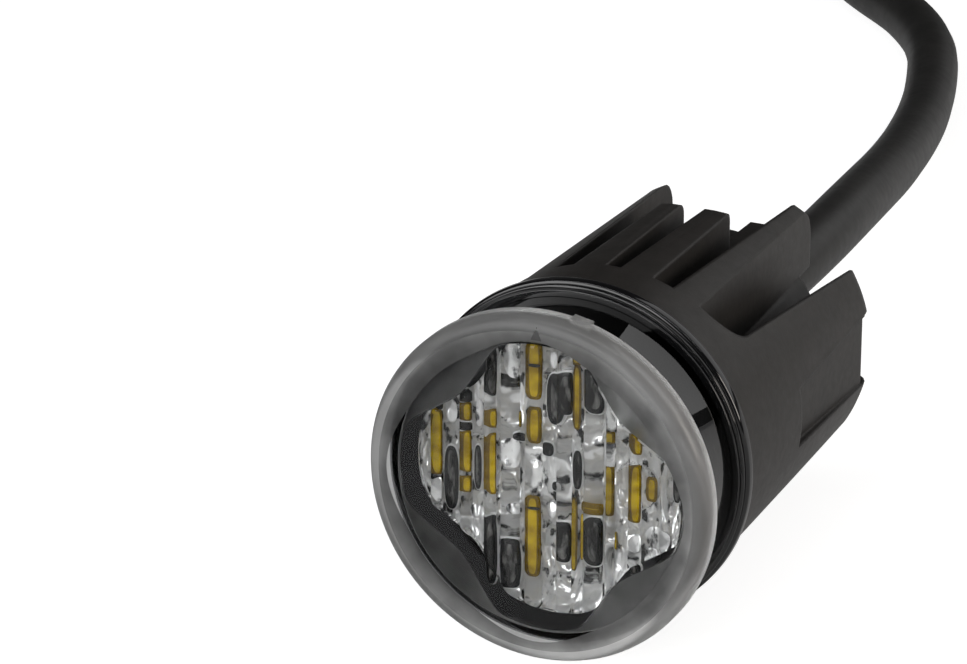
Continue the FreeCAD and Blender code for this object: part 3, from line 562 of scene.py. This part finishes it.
def build_lens():
    outline = cross_radius(0.0, 0.0)
    floor_outline = cross_radius(WINDOW_STEP, WINDOW_STEP)
    floor_y = WALL_REAR - WINDOW_DEPTH
    face, window, skirt, rim = 0, 1, 2, 3
    profile = rounded_profile([
        (0.0, FACE_Y, 0.0, face), (FLANGE_R, FACE_Y, RIM_ROUND, rim), (FLANGE_R, 0.0, REAR_ROUND, rim),
        (SKIRT_R, 0.0, 0.25, skirt), (SKIRT_R, SEAT_Y, 0.0, skirt), (SKIRT_IN, SEAT_Y, 0.0, skirt),
        (SKIRT_IN, WALL_REAR, 0.3, face), (0.0, WALL_REAR, 0.0, window)])[1:-1]
    rings = [(0, FACE_Y, window), (lambda a: 0.5 * outline(a), FACE_Y, window),
             (0.9 * FROST_R, FACE_Y, window), (frost_radius, FACE_Y, face)]
    rings += profile
    rings += [(outline, WALL_REAR, window), (floor_outline, floor_y, window),
              (lambda a: 0.5 * outline(a), floor_y, window), (0, floor_y, window)]
    mesh = revolved("clear_lens", rings, LENS_ROUND)
    materials = [LENS_FROST_AND_PAINTED_LIGHT, LENS_CLEAR, LENS_SKIRT_SHADE, LENS_RIM_AND_PAINTED_SHADE]
    return piece("clear_lens", mesh, materials, ["lens"], LENS_SHARP_DEG)


build_lens()

# Optic: a clear cross with upright ribs in front and four collimator bowls behind
RIBS = [(-15.7, 1.6), (-11.7, 1.6), (-8.35, 1.6), (-5.6, 2.6), (-2.4, 2.3), (1.75, 2.0), (5.7, 2.6),
        (8.1, 1.3), (11.3, 1.7), (15.5, 1.6)]    # middle x and width
RIB_HIGH = 1.0
RIB_END = 0.6         # length of a rib's rounded end, in its widths
OPTIC_INSET = 0.3
OPTIC_END_INSET = 0.8
OPTIC_COLUMNS = 420
OPTIC_ROWS = 84
OPTIC_CROWD = 0.25    # how much the columns crowd towards the sides
OPTIC_SHARP_DEG = 50.0
BOWL_R = 7.9
BOWL_REAR_R = 3.9
BOWL_LEN = 2.9
BOWL_CURVE = 0.25
CUP_R = 3.0
CUP_DEEP = 1.9
CUP_CROWN = 1.1


def rib_height(x, room):
    """How far the front stands out at x, given the distance up or down to the optic's edge."""
    for centre, wide in RIBS:
        across = 2 * (x - centre) / wide
        if abs(across) < 1:
            end = min(1.0, max(0.0, room) / (RIB_END * wide))
            return RIB_HIGH * math.sqrt(1 - across * across) * math.sqrt(1 - (1 - end) ** 2)
    return 0.0


def bowl_depth(x, z):
    """How far the bowls stand out behind the plate at a point."""
    depth = 0.0
    for lx, lz in ((LED_PITCH, 0), (-LED_PITCH, 0), (0, LED_PITCH), (0, -LED_PITCH)):
        r = math.hypot(x - lx, z - lz)
        if r >= BOWL_R:
            continue
        if r >= BOWL_REAR_R:
            share = (BOWL_R - r) / (BOWL_R - BOWL_REAR_R)
            here = BOWL_LEN * ((1 + BOWL_CURVE) * share - BOWL_CURVE * share * share)
        elif r >= CUP_R:
            here = BOWL_LEN
        else:
            here = BOWL_LEN - CUP_DEEP + CUP_CROWN * (1 - (r / CUP_R) ** 2)
        depth = max(depth, here)
    return depth


def build_optic():
    radius = cross_radius(OPTIC_INSET, OPTIC_END_INSET)
    reach = WINDOW_R - OPTIC_END_INSET - 0.06

    def half_height(x):
        """Half the outline's height over x, by halving the interval."""
        low, high = 0.0, WINDOW_R
        for _ in range(30):
            z = (low + high) / 2
            if math.hypot(x, z) < radius(math.atan2(z, x)):
                low = z
            else:
                high = z
        return low

    bm = bmesh.new()
    front, rear = [], []
    for i in range(OPTIC_COLUMNS + 1):
        across = 2 * i / OPTIC_COLUMNS - 1
        x = reach * math.sin(math.pi / 2 * across) * OPTIC_CROWD + reach * across * (1 - OPTIC_CROWD)
        tall = half_height(x)
        front_column, rear_column = [], []
        for j in range(OPTIC_ROWS + 1):
            z = tall * (2 * j / OPTIC_ROWS - 1)
            rise = rib_height(x, tall - abs(z))
            front_column.append(bm.verts.new((x * MM, (OPTIC_FRONT + RIB_HIGH - rise) * MM, z * MM)))
            rear_column.append(bm.verts.new((x * MM, (OPTIC_REAR + bowl_depth(x, z)) * MM, z * MM)))
        front.append(front_column)
        rear.append(rear_column)
    for columns, material in ((front, 0), (rear, 1)):
        for a, b in zip(columns, columns[1:]):
            for j in range(OPTIC_ROWS):
                bm.faces.new((a[j], b[j], b[j + 1], a[j + 1])).material_index = material
    for i in range(OPTIC_COLUMNS):
        for j in (0, OPTIC_ROWS):
            bm.faces.new((front[i][j], front[i + 1][j], rear[i + 1][j], rear[i][j]))
    for i in (0, OPTIC_COLUMNS):
        for j in range(OPTIC_ROWS):
            bm.faces.new((front[i][j], front[i][j + 1], rear[i][j + 1], rear[i][j]))
    mesh = finish_mesh(bm, "ribbed_optic")
    materials = [OPTIC_CLEAR, OPTIC_REAR_REFLECTIONS]
    return piece("ribbed_optic", mesh, materials, ["collimator_optic"], OPTIC_SHARP_DEG)


build_optic()

# Painted images inside the optic, in place of what the ribs would draw out: the emitters' amber, the dark
# board, painted reflections, and painted highlights round the dark ones: middle x, z and half sizes
IMAGE_Y = OPTIC_FRONT + RIB_HIGH + 0.25
IMAGE_THICK = 0.1     # of each half
IMAGE_SIDES = 28
IMAGE_RIM = (0.5, 0.25)      # insets of the flat middle and of the border's top, in half widths
AMBER_IMAGES = [
    (-15.84, 1.88, 0.55, 4.42), (-11.75, 6.74, 0.49, 1.25), (-11.76, 1.37, 0.50, 2.83),
    (-11.77, -3.07, 0.50, 1.14), (-8.19, 6.45, 0.65, 1.28), (-8.27, 0.32, 0.59, 4.19),
    (-4.46, 6.96, 0.32, 1.12), (-2.46, 14.10, 0.84, 4.07), (-2.41, 6.62, 0.71, 2.47),
    (-2.54, -8.43, 0.81, 5.57), (3.18, 16.62, 0.73, 1.17), (3.31, 11.21, 0.58, 4.26),
    (3.02, -7.23, 0.51, 5.01), (5.52, -3.19, 1.52, 0.80), (4.19, -7.40, 0.32, 3.15),
    (7.69, 6.71, 0.39, 0.87), (7.68, -0.30, 0.40, 3.43), (11.38, 6.84, 0.52, 1.73),
    (11.24, -0.11, 0.57, 3.90), (13.44, 0.80, 0.78, 1.67), (8.61, -7.02, 0.37, 1.21),
]
DARK_IMAGES = [
    (-15.82, 7.10, 0.82, 0.80), (-11.75, 8.82, 0.75, 0.77), (-11.76, 4.76, 0.75, 0.56),
    (-8.28, 12.88, 0.73, 3.41), (0.43, 10.46, 1.20, 3.40), (5.76, 12.75, 1.27, 3.14),
    (1.82, 11.58, 0.99, 2.84), (-8.29, -11.47, 0.82, 4.83), (1.61, -8.47, 0.97, 2.75),
    (5.77, -7.58, 1.25, 3.31), (16.81, 2.54, 0.60, 2.92), (-13.81, -2.66, 1.00, 4.30),
    (-10.14, -0.59, 0.50, 2.99), (-5.64, -12.74, 1.50, 3.40), (11.29, -10.45, 0.80, 0.81),
    (3.44, 1.54, 0.62, 2.60), (-0.60, 3.60, 0.80, 0.90), (-4.40, 4.60, 1.00, 0.55),
    (0.60, -1.20, 0.55, 0.60), (-2.40, 14.60, 0.62, 0.30), (-2.45, -4.60, 0.62, 0.28),
]
REFLECTION_IMAGES = [
    (-5.60, 2.30, 1.15, 2.00), (-5.30, 15.00, 1.00, 2.60), (-5.20, -5.20, 0.85, 0.75),
    (0.20, 15.60, 0.60, 1.10), (-13.80, 6.40, 0.80, 1.60), (-9.95, 6.80, 0.55, 1.90),
    (-10.20, -6.60, 1.30, 0.90), (-15.80, -4.60, 0.45, 1.70), (14.20, -5.60, 1.40, 1.50),
    (11.30, -6.80, 0.60, 1.30), (7.60, 4.60, 0.70, 1.90), (0.10, -4.40, 0.70, 1.30),
]


def build_images(name, rows, materials, power, margin=(0.0, 0.0), behind=0.0):
    """Flat oval pillows inside the optic that carry painted images, larger by a margin and set back; a high
    power is squarer.
    The second material is the border's."""
    bm = bmesh.new()
    at = IMAGE_Y + behind
    front = at - IMAGE_THICK
    levels = ((IMAGE_RIM[0], front), (IMAGE_RIM[1], front), (0.0, at), (0.0, at + IMAGE_THICK))
    for x, z, wide, tall in rows:
        wide += margin[0]
        tall += margin[1]
        loops = []
        for inset, y in levels:
            loop = []
            for i in range(IMAGE_SIDES):
                a = 2 * math.pi * (i + 0.5) / IMAGE_SIDES
                across = math.copysign(abs(math.cos(a)) ** (2 / power), math.cos(a))
                along = math.copysign(abs(math.sin(a)) ** (2 / power), math.sin(a))
                px = x + wide * (1 - inset) * across
                pz = z + (tall - inset * wide) * along
                loop.append(bm.verts.new((px * MM, y * MM, pz * MM)))
            loops.append(loop)
        for first, second in zip(loops, loops[1:]):
            for band in bridge(bm, first, second):
                band.material_index = len(materials) - 1
        bm.faces.new(loops[0])
        bm.faces.new(loops[-1])
    return piece(name, finish_mesh(bm, name), materials)


BOARD_BEHIND = -0.06
# Painted highlight outlines: the dark images again, larger by a margin and set further back
HIGHLIGHT_BEHIND = 0.24
HIGHLIGHT_MARGIN = (0.16, 0.2)
build_images("painted_emitter_images", AMBER_IMAGES, [OPTIC_AMBER_IMAGE, OPTIC_AMBER_SHADE], 4.0)
build_images("painted_board_images", DARK_IMAGES, [OPTIC_BOARD_IMAGE, OPTIC_BOARD_BORDER_SHADE], 2.8, behind=BOARD_BEHIND)
build_images("painted_reflection_images", REFLECTION_IMAGES, [OPTIC_PAINTED_REFLECTION], 2.4)
build_images("painted_highlight_edges", DARK_IMAGES, [OPTIC_PAINTED_HIGHLIGHT], 2.8, HIGHLIGHT_MARGIN, HIGHLIGHT_BEHIND)

# Small moulded marks on the lens: an index arrow at the top of its face and the gate's stub behind
ARROW = [(-0.4, -4.03, 20.3), (1.0, -4.03, 20.3), (0.63, -4.02, 21.2), (0.3, -3.85, 22.0),
         (-0.03, -4.02, 21.2)]
ARROW_THICK = 0.1
GATE_IN = 21.4
GATE_OUT = 22.95
GATE_DEGREES = (74.2, 74.8, 81.2, 81.8)
GATE_LEAN = 2         # degrees by which each side draws in per millimetre
GATE_LEVELS = ((0.0, -0.6), (0.0, 0.5), (0.18, 0.8))    # how far it draws in, and y


def build_marks():
    bm = bmesh.new()
    low = [(x, y + ARROW_THICK, z) for x, y, z in ARROW]
    rows = [[bm.verts.new((x * MM, y * MM, z * MM)) for x, y, z in row] for row in (low, ARROW)]
    bridge(bm, rows[0], rows[1])
    for row in rows:
        bm.faces.new((row[0], row[1], row[2], row[4]))
        bm.faces.new((row[2], row[3], row[4]))
    piece("index_arrow", finish_mesh(bm, "index_arrow"), [LENS_MARK])
    bm = bmesh.new()
    rows = []
    for shrink, y in GATE_LEVELS:
        row = []
        outer = GATE_OUT - shrink
        lean = shrink * GATE_LEAN
        corners = ((GATE_IN, 0.0), (outer, lean), (outer, -lean), (GATE_IN, 0.0))
        for (r, turn), degrees in zip(corners, GATE_DEGREES):
            a = math.radians(degrees + turn)
            row.append(bm.verts.new((r * math.cos(a) * MM, y * MM, r * math.sin(a) * MM)))
        rows.append(row)
    for first, second in zip(rows, rows[1:]):
        bridge(bm, first, second)
    bm.faces.new(rows[0])
    bm.faces.new(rows[-1])
    piece("gate_stub", finish_mesh(bm, "gate_stub"), [LENS_RIM_AND_PAINTED_SHADE])


build_marks()

# Trim ring: three polished ridges
RING_R = 22.7
RING_FRONT = 9.2


def build_ring():
    inner = SKIRT_R + 0.05
    profile = rounded_profile([
        (inner, SEAT_Y, 0.0, 0), (inner, RING_FRONT, 0.0, 0),
        (RING_R - 0.8, RING_FRONT, 0.12, 0), (RING_R - 0.8, RING_FRONT + 0.5, 0.07, 0),
        (RING_R - 1.0, RING_FRONT + 0.6, 0.0, 0),
        (RING_R - 0.4, RING_FRONT + 0.7, 0.2, 0), (RING_R - 0.4, RING_FRONT + 1.2, 0.07, 0),
        (RING_R - 0.6, RING_FRONT + 1.3, 0.0, 0),
        (RING_R, RING_FRONT + 1.4, 0.45, 0), (RING_R, SEAT_Y, 0.2, 0)])
    mesh = revolved("polished_ring", profile, ROUND, closed=True)
    return piece("polished_ring", mesh, [TRIM_BLACK], ["trim_ring"])


build_ring()

# Heatsink: a turned blank with drafted slots, as in the casting
COLLAR_R = 22.2
COLLAR_LEN = 0.9
BAND_R = 21.6
TAIL_R = 20.6
SLOT_FRONT = 20.0
SINK_REAR = 61.0
REAR_CORNER = 3.5
CORE_R = 14.0
CORE_REAR = 57.2
CAVITY_R = 10.6
CAVITY_FRONT = 15.0
MID_FIN_REAR = 47.0
FIN_ROUND = 1.8
FIN_TOP = 21.0
MID_SLOT = 2.1
SIDE_SLOT = (4.4, 9.2)
CORNER = (10.7, 17.7)
CORNER_ROUND = 4.0
WEB_HALF = 5.0
DRAFT = math.tan(math.radians(1.5))
FAR = 28.0
RECESS_FRONT = 32.0
RECESS_HALF = (4.1, 5.0)
RECESS_FLOOR = 19.8
PAST = 1.0            # how far a cutter runs past the rear face
ARC_STEPS = (8, 6)    # of the pockets' corners and of the fins' ends
SINK_ROUND = 160
CORE_ROUND = 120
CAVITY_ROUND = 96
WELD = 0.004          # points closer than this are joined
FLAT_DEG = 1.0        # faces that turn less than this are joined


def prism(bm, low, high, axis):
    """A closed solid between two outlines of equal length at the ends of an axis ('y' or 'x')."""
    rows = []
    for at, outline in (low, high):
        row = []
        for a, b in outline:
            place = (a, at, b) if axis == "y" else (at, a, b)
            row.append(bm.verts.new([v * MM for v in place]))
        rows.append(row)
    bridge(bm, rows[0], rows[1])
    bm.faces.new(rows[0])
    bm.faces.new(rows[1])


def box_outline(x0, x1, z0, z1):
    return [(x0, z0), (x1, z0), (x1, z1), (x0, z1)]


def slot_cutter():
    """The straight slots between the plates, narrower towards the front by the casting's draft."""
    bm = bmesh.new()
    taper = DRAFT * (SINK_REAR - SLOT_FRONT)
    extra = DRAFT * PAST
    for x0, x1 in ((-MID_SLOT, MID_SLOT), SIDE_SLOT, (-SIDE_SLOT[1], -SIDE_SLOT[0])):
        prism(bm, (SLOT_FRONT, box_outline(x0 + taper, x1 - taper, -FAR, FAR)),
              (SINK_REAR + PAST, box_outline(x0 - extra, x1 + extra, -FAR, FAR)), "y")
    return finish_mesh(bm, "slot_cutter")


def corner_cutter():
    """The four corner pockets, each with its front outer corner rounded."""
    bm = bmesh.new()
    taper = DRAFT * (SINK_REAR - SLOT_FRONT)
    steps = ARC_STEPS[0]
    for sx in (1, -1):
        for sz in (1, -1):
            side = []
            inner_front = CORNER[0] + taper
            outer_front = CORNER[1] - taper
            side.append((inner_front, SLOT_FRONT))
            for i in range(steps + 1):
                a = math.pi / 2 * i / steps
                side.append((outer_front - CORNER_ROUND + CORNER_ROUND * math.sin(a),
                             SLOT_FRONT + CORNER_ROUND - CORNER_ROUND * math.cos(a)))
            side.append((CORNER[1] + DRAFT * PAST, SINK_REAR + PAST))
            side.append((CORNER[0] - DRAFT * PAST, SINK_REAR + PAST))
            low, high = [], []
            for x, y in side:
                floor = WEB_HALF + DRAFT * (SINK_REAR - y)
                low.append(bm.verts.new((sx * x * MM, y * MM, sz * floor * MM)))
                high.append(bm.verts.new((sx * x * MM, y * MM, sz * FAR * MM)))
            bridge(bm, low, high)
            bm.faces.new(low)
            bm.faces.new(high)
    return finish_mesh(bm, "corner_cutter")


def web_cutter():
    """Ends the web between the pockets at the core's rear."""
    bm = bmesh.new()
    outline = box_outline(-FAR, FAR, -WEB_HALF, WEB_HALF)
    prism(bm, (CORE_REAR, outline), (SINK_REAR + 2 * PAST, outline), "y")
    return finish_mesh(bm, "web_cutter")


def fin_cutter(half):
    """Shortens the middle fins and rounds their rear corners."""
    bm = bmesh.new()
    steps = ARC_STEPS[1]
    rear = SINK_REAR + 2 * PAST
    outline = [(MID_FIN_REAR, CORE_R)]
    for i in range(steps + 1):
        a = math.pi / 2 * i / steps
        outline.append((MID_FIN_REAR - FIN_ROUND + FIN_ROUND * math.cos(a),
                        FIN_TOP - FIN_ROUND + FIN_ROUND * math.sin(a)))
    outline += [(MID_FIN_REAR - FIN_ROUND, FAR), (rear, FAR), (rear, CORE_R)]
    for sz in (1, -1):
        side = [(y, sz * z) for y, z in outline]
        prism(bm, (-half, side), (half, side), "x")
    return finish_mesh(bm, "fin_cutter")


def recess_cutter():
    """The shallow recess in each side, wider towards the rear."""
    bm = bmesh.new()
    outline = [(RECESS_FRONT, -RECESS_HALF[0]), (SINK_REAR + PAST, -RECESS_HALF[1]),
               (SINK_REAR + PAST, RECESS_HALF[1]), (RECESS_FRONT, RECESS_HALF[0])]
    for sx in (1, -1):
        prism(bm, (sx * RECESS_FLOOR, outline), (sx * FAR, outline), "x")
    return finish_mesh(bm, "recess_cutter")


def cylinder(name, radius, y0, y1, segments):
    return revolved(name, [(0, y0, 0), (radius, y0, 0), (radius, y1, 0), (0, y1, 0)], segments)


def combine(obj, mesh, operation):
    """Apply one boolean and drop its tool."""
    tool = new_object("tool", mesh)
    modifier = obj.modifiers.new("combine", "BOOLEAN")
    modifier.object = tool
    modifier.operation = operation
    modifier.solver = "EXACT"
    depsgraph = bpy.context.evaluated_depsgraph_get()
    result = bpy.data.meshes.new_from_object(obj.evaluated_get(depsgraph))
    obj.modifiers.clear()
    obj.data = result
    bpy.data.objects.remove(tool)


def build_heatsink():
    profile = rounded_profile([
        (0, SPIGOT_Y, 0.0, 0), (SPIGOT_R, SPIGOT_Y, 0.0, 0), (SPIGOT_R, SEAT_Y, 0.0, 0),
        (COLLAR_R, SEAT_Y, 0.0, 0), (COLLAR_R, SEAT_Y + COLLAR_LEN, 0.0, 0),
        (BAND_R, SEAT_Y + COLLAR_LEN + COLLAR_R - BAND_R, 0.0, 0), (BAND_R, SLOT_FRONT, 0.0, 0),
        (TAIL_R, SINK_REAR, REAR_CORNER, 0), (0, SINK_REAR, 0.0, 0)])
    blank = revolved("heatsink_body", profile, SINK_ROUND)
    sink = new_object("heatsink_body", blank)
    combine(sink, slot_cutter(), "DIFFERENCE")
    combine(sink, corner_cutter(), "DIFFERENCE")
    core = cylinder("core", CORE_R, SEAT_Y + 2 * PAST, CORE_REAR, CORE_ROUND)
    combine(sink, core, "UNION")
    hollow = cylinder("hollow", CORE_R, CORE_REAR, SINK_REAR + 2 * PAST, CORE_ROUND)
    combine(sink, hollow, "DIFFERENCE")
    half = sum(SIDE_SLOT) / 2
    combine(sink, fin_cutter(half), "DIFFERENCE")
    combine(sink, web_cutter(), "DIFFERENCE")
    combine(sink, recess_cutter(), "DIFFERENCE")
    cavity = cylinder("cavity", CAVITY_R, CAVITY_FRONT, CORE_REAR + 2 * PAST, CAVITY_ROUND)
    combine(sink, cavity, "DIFFERENCE")
    mesh = sink.data
    bm = bmesh.new()
    bm.from_mesh(mesh)
    bmesh.ops.remove_doubles(bm, verts=bm.verts, dist=WELD * MM)
    bmesh.ops.dissolve_limit(bm, angle_limit=math.radians(FLAT_DEG), verts=bm.verts, edges=bm.edges)
    bm.to_mesh(mesh)
    bm.free()
    mesh.materials.clear()
    mesh.materials.append(SINK_BLACK)
    mesh.shade_smooth()
    mesh.set_sharp_from_angle(angle=math.radians(SHARP_DEG))
    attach(sink, BODY)
    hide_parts("heatsink")
    return sink


build_heatsink()

# Finishes of the CAD pieces that stay
FINISHES = {
    "seal_ring": RUBBER, "thermal_pad": PAD_GREY, "led_board": BOARD_BLACK, "board_screws": STEEL,
    "led_packages": CERAMIC, "led_phosphors": PHOSPHOR, "chip_resistors": RESISTOR,
    "driver_board": BOARD_GREEN, "inductor": FERRITE, "capacitor": CAN, "driver_chips": RESISTOR,
    "led_leads": WIRE_WHITE,
    "supply_leads": WIRE_WHITE, "cord_stub": CORD_BLACK, "cable_gland": RUBBER, "potting_plug": RESIN,
    "lead_strands": COPPER,
}
for name, material in FINISHES.items():
    nodes[name].data.materials.clear()
    nodes[name].data.materials.append(material)


# Stage: pale floor, white horizon under a dim room, soft lights
HORIZON = 0.10       # height of a direction above which the white sweep fades
CEILING = 0.55       # height at which the room's own dim light is reached
ROOM_LIGHT = 0.24
FLOOR_HALF = 6.0     # metres
FLOOR_GREY = 0.4
FLOOR_GLOW = 0.85
FLOOR_SHARES = (("Is Glossy Ray", 0.3), ("Is Transmission Ray", 0.48))    # of the glow, beside the camera's


def make_world():
    """White at and below the horizon, dim overhead, as in a studio with a white sweep."""
    world = bpy.data.worlds.new("studio")
    world.use_nodes = True
    bpy.context.scene.world = world
    tree = world.node_tree
    light = tree.nodes["Background"]
    where = tree.nodes.new("ShaderNodeTexCoord")
    split = tree.nodes.new("ShaderNodeSeparateXYZ")
    fade = tree.nodes.new("ShaderNodeMapRange")
    fade.interpolation_type = "SMOOTHSTEP"
    fade.inputs["From Min"].default_value = HORIZON
    fade.inputs["From Max"].default_value = CEILING
    fade.inputs["To Min"].default_value = 1.0
    fade.inputs["To Max"].default_value = ROOM_LIGHT
    tree.links.new(where.outputs["Generated"], split.inputs["Vector"])
    tree.links.new(split.outputs["Z"], fade.inputs["Value"])
    tree.links.new(fade.outputs["Result"], light.inputs["Strength"])


def make_floor():
    """A pale floor that takes shadows, white where the camera, gloss or glass looks at it."""
    mesh = bpy.data.meshes.new("floor")
    corners = []
    for x, y in ((-1, -1), (1, -1), (1, 1), (-1, 1)):
        corners.append((x * FLOOR_HALF, y * FLOOR_HALF, FLOOR_Z * MM))
    mesh.from_pydata(corners, [], [(0, 1, 2, 3)])
    floor = new_object("floor", mesh)
    material = shader("floor_white", (FLOOR_GREY, FLOOR_GREY, FLOOR_GREY), 0.9, Specular_IOR_Level=0.0)
    tree = material.node_tree
    bsdf = tree.nodes["Principled BSDF"]
    path = tree.nodes.new("ShaderNodeLightPath")
    glow = tree.nodes.new("ShaderNodeEmission")
    glow.inputs["Strength"].default_value = FLOOR_GLOW
    both = tree.nodes.new("ShaderNodeAddShader")
    mix = tree.nodes.new("ShaderNodeMixShader")
    seen = path.outputs["Is Camera Ray"]
    for kind, part in FLOOR_SHARES:
        share = tree.nodes.new("ShaderNodeMath")
        share.operation = "MULTIPLY"
        share.inputs[1].default_value = part
        most = tree.nodes.new("ShaderNodeMath")
        most.operation = "MAXIMUM"
        tree.links.new(path.outputs[kind], share.inputs[0])
        tree.links.new(share.outputs["Value"], most.inputs[0])
        tree.links.new(seen, most.inputs[1])
        seen = most.outputs["Value"]
    tree.links.new(seen, mix.inputs["Fac"])
    tree.links.new(bsdf.outputs["BSDF"], both.inputs[0])
    tree.links.new(glow.outputs["Emission"], both.inputs[1])
    tree.links.new(bsdf.outputs["BSDF"], mix.inputs[1])
    tree.links.new(both.outputs["Shader"], mix.inputs[2])
    tree.links.new(mix.outputs["Shader"], tree.nodes["Material Output"].inputs["Surface"])
    mesh.materials.append(material)


def soft_light(name, place, target, size, power, color=(1.0, 1.0, 1.0)):
    data = bpy.data.lights.new(name, "AREA")
    data.shape = "RECTANGLE"
    data.size, data.size_y = size
    data.energy = power
    data.color = color
    lamp = new_object(name, data)
    lamp.location = place
    lamp.rotation_euler = (Vector(target) - Vector(place)).to_track_quat("-Z", "Y").to_euler()


make_world()
make_floor()
MIDDLE = (0.0, 0.02, 0.0)
soft_light("key", (-0.4, -0.85, 0.42), MIDDLE, (1.1, 0.8), 12.0)
soft_light("side", (0.9, 0.15, 0.3), MIDDLE, (0.5, 0.4), 4.8, (1.0, 0.93, 0.86))
soft_light("back", (0.4, 0.9, 0.42), MIDDLE, (0.9, 0.7), 1.5)
soft_light("strip", (0.05, -0.15, 0.7), MIDDLE, (1.4, 0.03), 2.2)

bpy.context.scene.view_settings.view_transform = "Standard"
